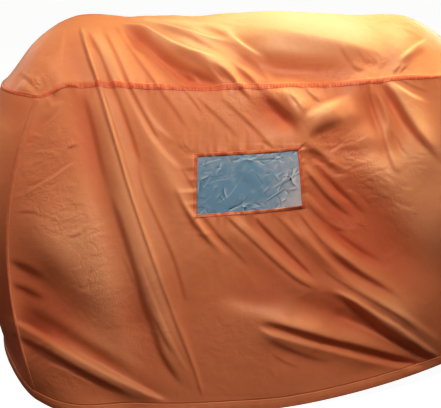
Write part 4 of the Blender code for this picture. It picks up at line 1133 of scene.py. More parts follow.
opening = ((index_of(LONG_LINES, WINDOW_SIDES[1]), index_of(LONG_LINES, WINDOW_SIDES[2])),
           (index_of(HIGH_LINES, WINDOW_LEVELS[1]), index_of(HIGH_LINES, WINDOW_LEVELS[2])))
vent_cells = ((index_of(END_LINES, to_line(-VENT_HOLE, END_DEPTH)),
               index_of(END_LINES, to_line(VENT_HOLE, END_DEPTH))),
              (index_of(END_LEVELS, VENT_CENTRE - VENT_HOLE / SLOPE),
               index_of(END_LEVELS, VENT_CENTRE + VENT_HOLE / SLOPE)))
WALL_CUT, END_CUT = (HEM_HALF_LENGTH, WALL_SLANT), (HEM_CORNER_DEPTH, 0.78)
ROOF_CUT = (HEM_HALF_LENGTH, 0.26)
panels = {
    "front": make_panel("front_cloth", "front_wall", front_place, LONG_LINES, HIGH_LINES,
                        WALL_CUT, opening),
    "back": make_panel("back_cloth", "back_wall", back_place, LONG_LINES[::2], HIGH_LINES[::2],
                       WALL_CUT),
    "left": make_panel("left_end_cloth", "left_end_wall", holed_end(-1), END_LINES, END_LEVELS,
                       END_CUT, vent_cells),
    "right": make_panel("right_end_cloth", "right_end_wall", holed_end(1), END_LINES, END_LEVELS,
                        END_CUT, vent_cells),
    "roof": make_panel("roof_cloth", "roof_panel", roof_place, LONG_LINES, ROOF_LINES, ROOF_CUT),
}

# %% [markdown]
# ## Seams
# Two panels are folded into each other and sewn through twice, which makes a flat ribbon with a
# low rib and pulls the thin cloth into short gathers. Each seam is a narrow grid on both panels,
# raised in the middle and rippled along its length. Between two gathers a dark mark is painted
# shade, with no dent in the shape, and the gathers get painted highlight on their crests and
# painted shade between them. The folded-over part is darker and redder: doubled cloth, and
# painted shade for the light that it holds back.

# %% Seam ribbons
TAPE_THICKNESS, LAP = 0.0003, 0.0001
THREAD_RADIUS = 0.00035
THREAD_LIFT = THREAD_RADIUS * 0.4
RIB_HEIGHT, GATHER_HEIGHT, GATHER_PITCH = 0.0001, 0.0005, 0.009
DIMPLE_SHADE_PITCH = 0.0085
thread_lines = {"seam": [], "window": [], "hem": [], "vent": []}


def ribbon(name, node, rows, seed, finish, threads=(3, 5), kind="seam", folded=1.0):
    """A seam through rows of places that run along it."""
    places = np.stack(rows, 1)
    outward = outward_normals(places)
    step = np.linalg.norm(np.diff(places[:, len(rows) // 2], axis=0), axis=-1)
    along = np.concatenate([[0.0], np.cumsum(step)])[:, None]
    across = np.linspace(-1.0, 1.0, len(rows))[None, :]
    gathers = ripple(along + 0.0 * across, 0.004 * across, GATHER_PITCH, seed)
    lift = (RIB_HEIGHT + GATHER_HEIGHT * (0.5 + 0.5 * gathers)) * (1.0 - across ** 2)
    lift = lift * (0.2 + 0.8 * folded)
    places = places + lift[..., None] * outward
    lengths = np.stack([along + 0.0 * across, across * TAPE_WIDTH / 2.0 + 0.0 * along], -1)
    # Darker and redder where the cloth is doubled: partly the doubled cloth, partly painted shade.
    doubled = folded * ramp(across, -0.2, 0.0) * (1.0 - ramp(across, 0.3, 1.0))
    doubled = doubled * (0.6 + 0.4 * ripple(along, 0.0 * along, 0.05, seed + 1))
    # Dark marks between the gathers are painted shade; the places are not dented.
    dimple_shade = ramp(np.sin(along * 2.0 * np.pi / DIMPLE_SHADE_PITCH) + 0.5 * gathers, 0.1, 0.7)
    dimple_shade = folded * dimple_shade * np.exp(-((across + 0.2) / 0.60) ** 2)
    piece = grid_piece(name, places, lengths, 0.5 * gathers - 1.3 * doubled - 3.0 * dimple_shade, finish,
                       TAPE_THICKNESS, LAP, True)
    dress(piece, [node])
    raised = places + (LAP + TAPE_THICKNESS + THREAD_LIFT) * outward
    thread_lines[kind] += [raised[:, row] for row in threads]
    return piece


print("a seam ribbon is", TAPE_WIDTH * 1000, "mm wide")

# %% Roof seams
SEAM_SHARES = (0.0, 1 / 3, 2 / 3, 1.0)


def band_cut(distance):
    """Step in a line's number that is this far in from a corner seam."""
    return distance / (TAPE_WIDTH / 2.0) * (1.0 - CORNER_BAND)


def trimmed(lines, cut):
    return np.clip(lines, lines[0] + band_cut(cut), lines[-1] - band_cut(cut))


def mitred(lines):
    short = CORNER_BAND - band_cut(LAP)
    return np.clip(lines, -short, short)


SEAM_GAP = 0.0007
for name, node, wall_place, lines, on_roof, seed in (
        ("front_roof_seam", "roof_seam_front", front_place, LONG_LINES,
         lambda t, d: roof_place(t, 0 * t - d), 61),
        ("back_roof_seam", "roof_seam_back", back_place, LONG_LINES,
         lambda t, d: roof_place(t, 0 * t + d), 62),
        ("left_roof_seam", "roof_seam_left", left_place, DEEP_LINES,
         lambda t, d: roof_place(0 * t - d, t), 63),
        ("right_roof_seam", "roof_seam_right", right_place, DEEP_LINES,
         lambda t, d: roof_place(0 * t + d, t), 64)):
    ends = trimmed(lines, SEAM_GAP)
    rows = [wall_place(ends, np.full_like(ends, mix(TAPE_TOP, 1.0, share)))[0]
            for share in SEAM_SHARES]
    rows += [on_roof(mix(ends, mitred(ends), share), mix(1.0, CORNER_BAND, share))[0]
             for share in SEAM_SHARES[1:]]
    ribbon(name, node, rows, seed, seam_nylon)

# %% Corner seams
levels = mix(HIGH_LINES[0] + LAP / SEAM_HEIGHT, TAPE_TOP - SEAM_GAP / SEAM_HEIGHT,
             np.linspace(0.0, 1.0, 150))
for name, node, wall_place, end_place, t, d, seed in (
        ("front_left_seam", "corner_seam_front_left", front_place, left_place, -1.0, -1.0, 71),
        ("front_right_seam", "corner_seam_front_right", front_place, right_place, 1.0, -1.0, 72),
        ("back_left_seam", "corner_seam_back_left", back_place, left_place, -1.0, 1.0, 73),
        ("back_right_seam", "corner_seam_back_right", back_place, right_place, 1.0, 1.0, 74)):
    one = np.ones_like(levels)
    rows = [wall_place(t * mix(CORNER_BAND, 1.0, share) * one, levels)[0]
            for share in SEAM_SHARES]
    rows += [end_place(d * mix(1.0, CORNER_BAND, share) * one, levels)[0]
             for share in SEAM_SHARES[1:]]
    ribbon(name, node, rows, seed, shell_nylon, folded=0.0)

# %% [markdown]
# ## The window
# A clear flexible film is sewn behind the opening, and its edge is bound with a folded strip of
# the orange cloth. The film never lies flat: it buckles between its seams, and along its creases
# pale lines are painted highlight and dark lines painted shade.

# %% Film
WINDOW_CELLS = 200
FILM, FILM_WIDTH, FILM_HEIGHT = 0.0004, 0.285, 0.166
film_lines = np.linspace(WINDOW_SIDES[0], WINDOW_SIDES[3], WINDOW_CELLS)
film_levels = np.linspace(WINDOW_LEVELS[0], WINDOW_LEVELS[3], WINDOW_CELLS * 6 // 10)
t, v = np.meshgrid(film_lines, film_levels, indexing="ij")
places = front_place(t, v)[0]
film_x, film_z = (t - t.min()) / np.ptp(t), (v - v.min()) / np.ptp(v)
slack = hump(film_x) * hump(film_z)
FILM_CREASES = (
    (1.0, (0.70, 0.38), (0.84, 0.50), (0.99, 0.62)), (-0.9, (0.72, 0.36), (0.86, 0.47), (0.99, 0.59)),
    (0.8, (0.64, 0.19), (0.73, 0.28), (0.83, 0.39)), (-1.0, (0.63, 0.16), (0.73, 0.25), (0.84, 0.36)),
    (0.9, (0.06, 0.80), (0.14, 0.86), (0.27, 0.90)), (-0.5, (0.03, 0.86), (0.10, 0.80), (0.15, 0.82)),
    (0.7, (0.40, 0.93), (0.50, 0.86), (0.60, 0.88)), (-1.0, (0.52, 0.86), (0.64, 0.85), (0.77, 0.85)),
    (0.6, (0.53, 0.82), (0.70, 0.82), (0.86, 0.80)), (-0.7, (0.55, 0.66), (0.60, 0.54), (0.63, 0.42)),
    (0.5, (0.48, 0.62), (0.53, 0.70), (0.56, 0.64)), (-0.8, (0.74, 0.28), (0.78, 0.16), (0.77, 0.04)),
    (-0.9, (0.70, 0.96), (0.80, 0.99), (0.88, 0.97)), (-0.8, (0.00, 0.36), (0.05, 0.31), (0.12, 0.30)),
    (-0.9, (0.02, 0.14), (0.07, 0.17), (0.12, 0.12)), (0.5, (0.20, 0.20), (0.32, 0.32), (0.40, 0.50)),
    (-0.5, (0.30, 0.10), (0.42, 0.18), (0.50, 0.30)), (0.6, (0.86, 0.90), (0.90, 0.82), (0.92, 0.76)),
    (0.5, (0.10, 0.50), (0.20, 0.56), (0.34, 0.58)), (-0.5, (0.12, 0.66), (0.20, 0.62), (0.30, 0.66)),
    (0.4, (0.44, 0.06), (0.56, 0.12), (0.66, 0.10)), (-0.4, (0.84, 0.70), (0.90, 0.66), (0.95, 0.70)),
)
FILM_WRINKLED = (
    ((0.045, -0.083), (0.045, 0.075), 35, 40, 16, 0.7),
    ((0.235, -0.083), (0.050, 0.075), 25, 40, 20, 0.8),
    ((0.140, -0.150), (0.120, 0.018), 5, 30, 16, 0.8),
    ((0.140, -0.015), (0.120, 0.016), 10, 40, 16, 0.9),
)
film_marks = crease_height(film_x * FILM_WIDTH, film_z * FILM_HEIGHT, [
    *(([np.array(point) * (FILM_WIDTH, FILM_HEIGHT) for point in points], 0.0013, strength, "pleat")
      for strength, *points in FILM_CREASES),
    *short_creases(FILM_WRINKLED, 0.026, 0.0011, 23, 900.0)])
buckles = (0.0022 * ripple(film_x * 0.28 + 0.1 * film_z, film_z * 0.16, 0.045, 81)
           + 0.0006 * crumple(film_x * 0.28, film_z * 0.16, 83) + 0.0008 * film_marks)
places = places + (slack * buckles)[..., None] * outward_normals(places)
film_lengths = np.stack([film_x * FILM_WIDTH, film_z * FILM_HEIGHT], -1)
print("film buckles up to", round(float(np.abs(slack * buckles).max()) * 1000, 1), "mm")

# %% Film finish
film_finish = Finish("clear_film", Roughness=0.16, IOR=1.45, Specular_IOR_Level=0.6,
                     Coat_Weight=0.25, Coat_Roughness=0.08)
film_uv = film_finish.cloth_map()
crease = film_finish.attribute("relief")
cloudy = film_finish.noise(film_finish.stretch(film_uv, (1.0, 0.6, 1.0)), 6.0, 1.0, 0.4, 0.3)
specks = film_finish.noise(film_uv, 55.0, 3.0)
milky = ((cloudy - 0.38) * 3.0 + (specks - 0.5) * 1.2).limited()
tint = film_finish.blend(milky, colour(0.25, 0.46, 0.63), colour(0.68, 0.64, 0.66))
# Dark lines along the creases are painted shade, and pale lines painted highlight.
tint = film_finish.blend((crease * -1.0).limited(), tint, colour(0.03, 0.04, 0.06))
tint = film_finish.blend(crease.limited(), tint, colour(0.85, 0.89, 0.90))
film_finish.connect(tint, "Base Color")
film_finish.connect((0.80 + milky * 0.12 + crease.size() * 0.2).limited(), "Alpha")
film_finish.connect(0.10 + cloudy * 0.12 + specks * 0.06, "Roughness")
film_finish.raise_by(specks, 0.0008, 0.35)
film = grid_piece("window_sheet", places, film_lengths, film_marks, film_finish.material, FILM,
                  CLOTH + LAP)
dress(film, ["window_film"])
print("film finish with", len(film_finish.tree.nodes), "nodes")

# %% Binding
def round_border(places, row):
    """The closed line of places that is this many rows in from the edge of a grid."""
    last_i, last_j = places.shape[0] - 1 - row, places.shape[1] - 1 - row
    return np.concatenate([places[row:last_i, row], places[last_i, row:last_j],
                           places[last_i:row:-1, last_j], places[row, last_j:row - 1:-1]])


across_lines, up_lines = (
    np.concatenate([np.linspace(marks[0], marks[1], 5)[:-1], np.linspace(marks[1], marks[2], count),
                    np.linspace(marks[2], marks[3], 5)[1:]])
    for marks, count in ((WINDOW_SIDES, 90), (WINDOW_LEVELS, 50)))
t, v = np.meshgrid(across_lines, up_lines, indexing="ij")
places = front_place(t, v)[0]
outward = outward_normals(places)
_, way_round = outside_window(from_line(t, half_length(v)) * half_length(v), v * WALL_RUN)
gathers = ripple(way_round, 0.0 * way_round, 0.0075, 5)
places = places + (0.0003 + 0.0003 * gathers)[..., None] * outward
lengths = np.stack([t * WALL_CUT[0], v * WALL_CUT[1]], -1)
# The relief attribute paints highlight on the gathers' crests and shade between them, and the whole band
# a little darker.
binding = grid_piece("window_edge", places, lengths, 2.6 * gathers - 0.2, seam_nylon,
                     TAPE_THICKNESS, LAP, True,
                     hole=((4, len(across_lines) - 5), (4, len(up_lines) - 5)))
dress(binding, ["window_binding"])
raised = places + (LAP + TAPE_THICKNESS + THREAD_LIFT) * outward
thread_lines["window"] += [round_border(raised, row) for row in (1, 3)]
print("binding", len(binding.data.polygons), "cells")

# %% [markdown]
# ## The hem
# The lower edge is folded up into a channel for the drawcord. It lies round and slack on the
# ground, and the cloth gathers along it.

# %% Hem channels
HEM_SHARES = np.array([0.0, 0.04, 0.12, 0.24, 0.38, 0.54, 0.70, 0.84, 0.93, 0.985])
HEM_HALVES = np.array([0.62, 0.80, 0.93, 0.99, 1.00, 0.95, 0.82, 0.60, 0.42, 0.34]) * HEM_WIDTH / 2
CORD_EXIT_GAP = 0.036


def hem_tube(name, node, place, low, high, count, seed):
    stations = np.linspace(low, high, count)
    shares = np.concatenate([HEM_SHARES, HEM_SHARES[::-1], HEM_SHARES[:1]])
    halves = np.concatenate([HEM_HALVES, -HEM_HALVES[::-1], HEM_HALVES[:1]])
    t, share = np.meshgrid(stations, shares, indexing="ij")
    places = place(t, share * HEM_TOP)[0]
    ground = place(stations, 0.0 * stations)[0]
    direction = np.gradient(ground, axis=0)
    outward = np.stack([direction[:, 1], -direction[:, 0], 0.0 * stations], -1)
    outward /= np.linalg.norm(outward, axis=-1, keepdims=True)
    if np.sum(outward * (ground - INSIDE)) < 0:
        outward = -outward
    step = np.linalg.norm(np.diff(ground, axis=0), axis=-1)
    along = np.concatenate([[0.0], np.cumsum(step)])[:, None]
    gathers = ripple(along + 0.0 * share, 0.02 * share, 0.014, seed)
    squeeze = 1.0 - 0.30 * (0.5 + 0.5 * gathers) * ease(share / 0.2)
    places = places + (halves * squeeze)[..., None] * outward[:, None, :]
    lengths = np.stack([along + 0.0 * share, np.linspace(0.0, 0.05, len(shares))[None, :]
                        + 0.0 * along], -1)
    inner = np.repeat((ground[:-1] + ground[1:]) / 2, len(shares) - 1, axis=0)
    inner[:, 2] += HEM_HEIGHT / 2
    # The relief attribute paints highlight on the gathers' crests and shade between them.
    piece = grid_piece(name, places, lengths, 0.4 * gathers, shell_nylon, CLOTH, inner=inner)
    dress(piece, [node])
    thread_lines["hem"].append(places[:, 7] + THREAD_LIFT * outward)
    return piece


exit_line = to_line(CORD_EXIT_GAP / 2.0, HEM_HALF_LENGTH)
CORNER = 1.0
hems = [
    hem_tube("front_hem", "hem_channel_front", front_place, -CORNER, CORNER, 260, 101),
    hem_tube("left_hem", "hem_channel_left", left_place, -CORNER, CORNER, 120, 102),
    hem_tube("right_hem", "hem_channel_right", right_place, -CORNER, CORNER, 120, 103),
    hem_tube("back_left_hem", "hem_channel_back_left", back_place, -CORNER, -exit_line, 130, 104),
    hem_tube("back_right_hem", "hem_channel_back_right", back_place, exit_line, CORNER, 130, 105),
]
print(len(hems), "lengths of hem")

# %% [markdown]
# ## Vents
# A short sleeve of cloth stands out of each end wall. Its mouth has a turned hem and its root a
# flange that is sewn flat on the wall. It is turned from a profile, with soft dents pressed in.

# %% Vent sleeves
VENT_TURNS = 97


def vent_sleeve(name, node, side, seed):
    centre, outward, upward = vent_frame(side)
    across = np.cross(upward, outward)
    radius = np.array([0.0352, 0.0358, 0.0364, 0.0364, 0.0360, 0.0372, 0.0385, 0.0398, 0.0408,
                       0.0414, 0.0418, 0.0420, 0.0424, 0.0440, 0.0470, 0.0500, 0.0520])
    height = np.array([0.0693, 0.0700, 0.0696, 0.0640, 0.0590, 0.0560, 0.0500, 0.0430, 0.0360,
                       0.0280, 0.0180, 0.0080, 0.0024, 0.0008, 0.0, 0.0, 0.0])
    angle = np.linspace(0.0, 2.0 * math.pi, VENT_TURNS)
    a, r = np.meshgrid(angle, radius, indexing="ij")
    h = np.broadcast_to(height, a.shape)
    free = ease(h / 0.02)
    dents = (np.sin(3.0 * a + 1.1 * seed) * 0.0016 + np.sin(5.0 * a + 60.0 * h + seed) * 0.0011
             + np.sin(11.0 * a - 90.0 * h) * 0.0004)
    droop = -0.0040 * (h / VENT_LENGTH) ** 2
    r = r + free * dents * (0.5 + 0.5 * h / VENT_LENGTH) - 0.0010 * free
    local = np.stack([r * np.cos(a), r * np.sin(a) + droop, h + LAP], -1)
    turn = np.stack([across, upward, outward])
    places = settled(centre + local @ turn)
    lengths = np.stack([a * 0.042, h - r], -1)
    middle = settled(centre + np.array([0.0, 0.0, 0.03]) @ turn)
    # The relief attribute paints shade in the dents and highlight on the bulges between them.
    piece = grid_piece(name, places, lengths, 150.0 * dents * free, seam_nylon, CLOTH, 0.0, True,
                       inner=middle)
    dress(piece, [node])
    normal = outward_normals(places, middle)
    raised = places + (CLOTH + THREAD_LIFT) * normal
    thread_lines["vent"] += [raised[:, 4], raised[:, 14], raised[:, 15]]
    return piece


vents = [vent_sleeve("left_vent", "vent_sleeve_left", -1, 1.0),
         vent_sleeve("right_vent", "vent_sleeve_right", 1, 2.3)]
print("vent mouths", 2 * VENT_MOUTH_RADIUS * 1000, "mm wide")

# %% [markdown]
# ## Seats
# Each seat is a flap of heavy dark pack cloth with bound edges, sewn to the end hem along its
# outer edge, so it turns up about that edge.

# %% Seat finish
seat_finish = Finish("pack_cloth", Roughness=0.82, Specular_IOR_Level=0.35, Sheen_Weight=0.15,
                     Sheen_Roughness=0.5)
seat_uv = seat_finish.cloth_map()
seat_across, seat_up = (seat_finish.part_of(seat_uv, axis) for axis in ("X", "Y"))
PACK_WAVES = 3900.0
basket = ((seat_across * PACK_WAVES).sine() * (seat_up * PACK_WAVES).sine()) * 0.5 + 0.5
worn = seat_finish.noise(seat_finish.position(), 24.0, 4.0, 0.6)
shade = seat_finish.blend(worn, colour(0.018, 0.018, 0.021), colour(0.052, 0.052, 0.058))
# Lighter on the raised threads of the weave: painted highlight, with painted shade between them.
seat_finish.connect(seat_finish.blend(basket * 0.5, shade, colour(0.075, 0.075, 0.082)),
                    "Base Color")
seat_finish.connect(0.70 + worn * 0.2, "Roughness")
seat_finish.raise_by(basket + worn * 0.6, 0.0004, 0.7)
print("pack cloth with", len(seat_finish.tree.nodes), "nodes")

# %% Seat flaps
SEAT_EDGE, BOUND_EDGE, SEAT_SAG, BAND_RISE = 0.683856, 0.012, 0.0030, 0.0007
seat_threads = {"seat_left": [], "seat_right": []}


def seat_flap(name, node, side, body, seed):
    margin = np.array([0.0, 0.0025, 0.006, 0.0095, BOUND_EDGE])
    far = np.concatenate([margin, np.linspace(BOUND_EDGE, SEAT_LENGTH - BOUND_EDGE, 40)[1:-1],
                          SEAT_LENGTH - margin[::-1]])
    wide = np.concatenate([margin, np.linspace(BOUND_EDGE, SEAT_WIDTH - BOUND_EDGE, 44)[1:-1],
                           SEAT_WIDTH - margin[::-1]])
    a, b = np.meshgrid(far, wide, indexing="ij")
    edge = np.minimum(np.minimum(a, SEAT_LENGTH - a), np.minimum(b, SEAT_WIDTH - b))
    band = 1.0 - ramp(edge, 0.0105, BOUND_EDGE)
    held = ease(a / 0.05)
    waves = 0.5 + 0.5 * ripple(a + 0.3 * b, b, 0.075, seed)
    z = (SEAT_THICKNESS / 2.0 + SEAT_SAG * waves * held * (1.0 - 0.5 * band)
         + BAND_RISE * band * ease(edge / 0.003))
    places = settled(np.stack([side * (SEAT_EDGE - a), b - SEAT_WIDTH / 2.0,
                               z + SEAT_THICKNESS / 2.0], -1))
    piece = grid_piece(name, places, np.stack([a, b], -1), 0.0 * a, seat_finish.material,
                       0.0010, inner=np.array([0.0, 0.0, -1.0]))
    dress(piece, [node], body)
    seat_threads[body].append(round_border(places + np.array([0.0, 0.0, THREAD_LIFT]), 3))
    return piece


seats = [seat_flap("left_seat", "seat_flap_left", -1, "seat_left", 111),
         seat_flap("right_seat", "seat_flap_right", 1, "seat_right", 113)]
print("seats", SEAT_LENGTH, "by", SEAT_WIDTH, "m")

# %% [markdown]
# ## Stitches
# Thousands of stitches follow the seams, so Geometry Nodes place them. The tree steps along the
# lines that the pieces above have left, puts a short drop of thread at each step, turned along
# the line, and joins them to one mesh.

# %% Thread finish
def make_thread(name, light, dark):
    thread = Finish(name, Roughness=0.62, Specular_IOR_Level=0.4, Sheen_Weight=0.2)
    spun = thread.noise(thread.position(), 900.0, 2.0)
    thread.connect(thread.blend(spun, colour(*light), colour(*dark)), "Base Color")
    thread.connect(0.5 + spun * 0.25, "Roughness")
    thread.raise_by(spun, 0.0002, 0.6)
    return thread.material


orange_thread = make_thread("orange_thread", (0.70, 0.16, 0.06), (0.42, 0.06, 0.03))
dark_thread = make_thread("dark_thread", (0.09, 0.09, 0.095), (0.03, 0.03, 0.033))
print("two threads")


# %% Stitch tree
def stitch_tree():
    tree = bpy.data.node_groups.new("stitches", "GeometryNodeTree")
    tree.interface.new_socket("Lines", in_out="INPUT", socket_type="NodeSocketGeometry")
    identifiers = {}
    for name in ("Pitch", "Stitch length", "Thread width"):
        socket = tree.interface.new_socket(name, in_out="INPUT", socket_type="NodeSocketFloat")
        identifiers[name] = socket.identifier
    socket = tree.interface.new_socket("Thread", in_out="INPUT", socket_type="NodeSocketMaterial")
    identifiers["Thread"] = socket.identifier
    tree.interface.new_socket("Stitches", in_out="OUTPUT", socket_type="NodeSocketGeometry")

    def node(kind, links=(), **settings):
        made = tree.nodes.new(kind)
        for key, value in settings.items():
            setattr(made, key, value)
        for socket_name, source in dict(links).items():
            if hasattr(source, "links"):
                tree.links.new(source, made.inputs[socket_name])
            else:
                made.inputs[socket_name].default_value = source
        return made

    given = node("NodeGroupInput").outputs
    steps = node("GeometryNodeResampleCurve", {"Curve": given["Lines"], "Length": given["Pitch"]},
                 mode="LENGTH").outputs["Curve"]
    drop = node("GeometryNodeMeshUVSphere", {"Segments": 6, "Rings": 4, "Radius": 0.5})
    tangent = node("GeometryNodeInputTangent").outputs[0]
    turned = node("FunctionNodeAlignRotationToVector", {"Vector": tangent}, axis="Z")
    uneven = node("FunctionNodeRandomValue", data_type="FLOAT")
    uneven.inputs[2].default_value, uneven.inputs[3].default_value = 0.82, 1.12
    uneven.inputs["Seed"].default_value = 7
    length = node("ShaderNodeMath", {0: given["Stitch length"], 1: uneven.outputs[1]},
                  operation="MULTIPLY").outputs[0]
    size = node("ShaderNodeCombineXYZ", {"X": given["Thread width"], "Y": given["Thread width"],
                                         "Z": length}).outputs[0]
    placed = node("GeometryNodeInstanceOnPoints", {"Points": steps, "Instance": drop.outputs[0],
                  "Rotation": turned.outputs[0], "Scale": size}).outputs[0]
    joined = node("GeometryNodeRealizeInstances", {"Geometry": placed}).outputs[0]
    smooth = node("GeometryNodeSetShadeSmooth", {"Geometry": joined}).outputs[0]
    coloured = node("GeometryNodeSetMaterial", {"Geometry": smooth, "Material": given["Thread"]})
    tree.links.new(coloured.outputs[0], tree.nodes.new("NodeGroupOutput").inputs["Stitches"])
    return tree, identifiers


STITCHES, STITCH_INPUTS = stitch_tree()
print("stitch tree with", len(STITCHES.nodes), "nodes")


# %% Sewing
def sew(name, lines, thread, body, pitch=0.0036, length=0.0030):
    curve = bpy.data.curves.new(name + "_lines", "CURVE")
    curve.dimensions = "3D"
    for line in lines:
        spline = curve.splines.new("POLY")
        spline.points.add(len(line) - 1)
        spline.points.foreach_set("co", np.column_stack([line, np.ones(len(line))]).reshape(-1))
    guide = add_object(name + "_lines", curve)
    modifier = guide.modifiers.new("Stitches", "NODES")
    modifier.node_group = STITCHES
    modifier[STITCH_INPUTS["Pitch"]] = pitch
    modifier[STITCH_INPUTS["Stitch length"]] = length
    modifier[STITCH_INPUTS["Thread width"]] = 2.0 * THREAD_RADIUS
    modifier[STITCH_INPUTS["Thread"]] = thread
    evaluated = guide.evaluated_get(bpy.context.evaluated_depsgraph_get())
    mesh = bpy.data.meshes.new_from_object(evaluated)
    bpy.data.objects.remove(guide)
    piece = add_object(name, mesh)
    dress(piece, [], body)
    print(name, len(mesh.polygons), "faces")
    return piece


stitches = {kind: sew(kind + "_stitches", lines, orange_thread, SHELL)
            for kind, lines in thread_lines.items()}
for seat, body in zip(seats, seat_threads):
    stitches[body] = sew(body + "_stitches", seat_threads[body], dark_thread, body)

# %% [markdown]
# ## Drawcord and cord lock
# The drawcord runs round the whole hem inside its channel, and both its ends come out through a
# cord lock at the back. It is a round braided cord, so it is laid again as a smooth curve along
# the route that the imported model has.

# %% Route of the drawcord
CORD_DIAMETER, CORD_SPACING, CORD_GAP = 0.0030, 0.0038, 0.0003
CORD_BEND, CORD_TAIL, LOCK_DEPTH, LOCK_HEIGHT = 0.012, 0.012, 0.012, 0.012
CORD_LEVEL = CLOTH + CORD_GAP + CORD_DIAMETER / 2.0
CORNER_CUT = 0.0030
hem_end = 1.0 - band_cut(CORNER_CUT)
middle_of_hem = back_place(np.array(0.0), np.array(0.0), False)[0]
lock_y = middle_of_hem[1] + CORD_BEND + LOCK_DEPTH / 2.0 + CORD_DIAMETER
lock_z = CORD_GAP + LOCK_HEIGHT / 2.0


def exit_bend(side):
    """From the mouth of the channel round the bend and out through the lock."""
    points = []
    for turn in np.linspace(0.1, 1.0, 8):
        angle = turn * math.pi / 2.0
        points.append((side * (CORD_SPACING / 2.0 + CORD_BEND * (1.0 - math.sin(angle))),
                       middle_of_hem[1] + CORD_BEND * (1.0 - math.cos(angle)),
                       mix(CORD_LEVEL, lock_z, float(ease(turn)))))
    points.append((side * CORD_SPACING / 2.0, lock_y, lock_z))
    points.append((side * CORD_SPACING / 2.0, lock_y + LOCK_DEPTH / 2.0 + CORD_TAIL, lock_z))
    return np.array(points)


def cord_stretch(place, low, high, count):
    t = np.linspace(low, high, count)
    return place(t, np.full_like(t, CORD_LEVEL / SEAM_HEIGHT))[0]


route = np.concatenate([
    exit_bend(-1)[::-1],
    cord_stretch(back_place, -exit_line, -hem_end, 60),
    cord_stretch(left_place, hem_end, -hem_end, 70),
    cord_stretch(front_place, -hem_end, hem_end, 130),
    cord_stretch(right_place, -hem_end, hem_end, 70),
    cord_stretch(back_place, hem_end, exit_line, 60),
    exit_bend(1)])
cord_length = float(np.linalg.norm(np.diff(route, axis=0), axis=-1).sum())
print("drawcord", round(cord_length, 2), "m")


# %% Drawcord mesh
def tube(name, points, radius, sides=10):
    """A round tube along the points, with closed ends and its length in the texture map."""
    tangent = np.gradient(points, axis=0)
    tangent /= np.linalg.norm(tangent, axis=-1, keepdims=True)
    sideways = np.cross(tangent, [0.0, 0.0, 1.0])
    sideways /= np.linalg.norm(sideways, axis=-1, keepdims=True)
    upwards = np.cross(sideways, tangent)
    angle = np.arange(sides) / sides * 2.0 * math.pi
    rings = (points[:, None] + radius * (np.cos(angle)[None, :, None] * sideways[:, None]
                                         + np.sin(angle)[None, :, None] * upwards[:, None]))
    number = np.arange(len(points) * sides).reshape(len(points), sides)
    beside = np.roll(number, -1, axis=1)
    quads = np.stack([number[:-1], number[1:], beside[1:], beside[:-1]], -1).reshape(-1, 4)
    faces = [*quads.tolist(), number[0].tolist(), number[-1][::-1].tolist()]
    mesh = bpy.data.meshes.new(name)
    mesh.from_pydata(rings.reshape(-1, 3).tolist(), [], faces)
    mesh.shade_smooth()
    along = np.concatenate([[0.0], np.cumsum(np.linalg.norm(np.diff(points, axis=0), axis=-1))])
    layer = mesh.uv_layers.new(name="cloth")
    for face in mesh.polygons:
        for loop, vertex in zip(face.loop_indices, face.vertices):
            turn = vertex % sides
            wraps = turn == 0 and any(v % sides == sides - 1 for v in face.vertices)
            layer.data[loop].uv = (along[vertex // sides], (sides if wraps else turn) / sides)
    piece = add_object(name, mesh)
    return piece


cord_finish = Finish("braided_cord", Roughness=0.68, Specular_IOR_Level=0.35, Sheen_Weight=0.2)
cord_uv = cord_finish.cloth_map()
cord_along, cord_round = (cord_finish.part_of(cord_uv, axis) for axis in ("X", "Y"))
TURNS_PER_METRE = 260.0
lengthwise, around = cord_along * (TURNS_PER_METRE * 2 * math.pi), cord_round * (8 * math.pi)
right_hand, left_hand = (lengthwise + around).sine(), (lengthwise - around).sine()
plait = (right_hand * left_hand) * 0.5 + 0.5
# Lighter on the raised strands and darker in the grooves between them: painted highlight and painted
# shade.
strand = cord_finish.blend(plait, colour(0.34, 0.055, 0.022), colour(0.70, 0.16, 0.06))
fleck = ((right_hand - 0.9) * 10.0).limited()
cord_finish.connect(cord_finish.blend(fleck, strand, colour(0.09, 0.03, 0.02)), "Base Color")
cord_finish.connect(0.60 + plait * 0.15, "Roughness")
cord_finish.raise_by(plait, 0.0003, 0.9)

drawcord = tube("drawcord", route, CORD_DIAMETER / 2.0)
drawcord.data.materials.append(cord_finish.material)
dress(drawcord, ["hem_drawcord"])
print("drawcord", len(drawcord.data.polygons), "faces")

# %% [markdown]
# ### Plastic and wire
# The cord lock's body, its button and the two beads are moulded plastic. Their shapes are right
# in the imported model, so they only get better finishes. The spring is drawn wire, and it has to
# give way when the button is pressed, so it is wound anew in the place of the imported one.

# %% Moulded plastic
def make_plastic(name, shade, wear):
    plastic = Finish(name, Roughness=0.36, IOR=1.49, Specular_IOR_Level=0.5)
    grain = plastic.noise(plastic.position(), 1500.0, 2.0)
    scuffs = plastic.noise(plastic.stretch(plastic.position(), (1.0, 0.35, 1.0)), 420.0, 5.0, 0.7)
    rubbed = ((scuffs - 0.58) * 6.0).limited()
    plastic.connect(plastic.blend(rubbed, colour(*shade), colour(*wear)), "Base Color")
    plastic.connect(0.32 + grain * 0.12 + rubbed * 0.15, "Roughness")
    plastic.raise_by(grain + rubbed * 0.5, 0.00006, 0.5)
    return plastic.material


wire = Finish("drawn_wire", Metallic=1.0, Roughness=0.3)
drawn = wire.noise(wire.stretch(wire.position(), (1.0, 6.0, 6.0)), 1200.0, 3.0)
wire.connect(wire.blend(drawn, colour(0.42, 0.42, 0.43), colour(0.62, 0.62, 0.63)), "Base Color")
wire.connect(0.24 + drawn * 0.2, "Roughness")
wire.raise_by(drawn, 0.00004, 0.4)

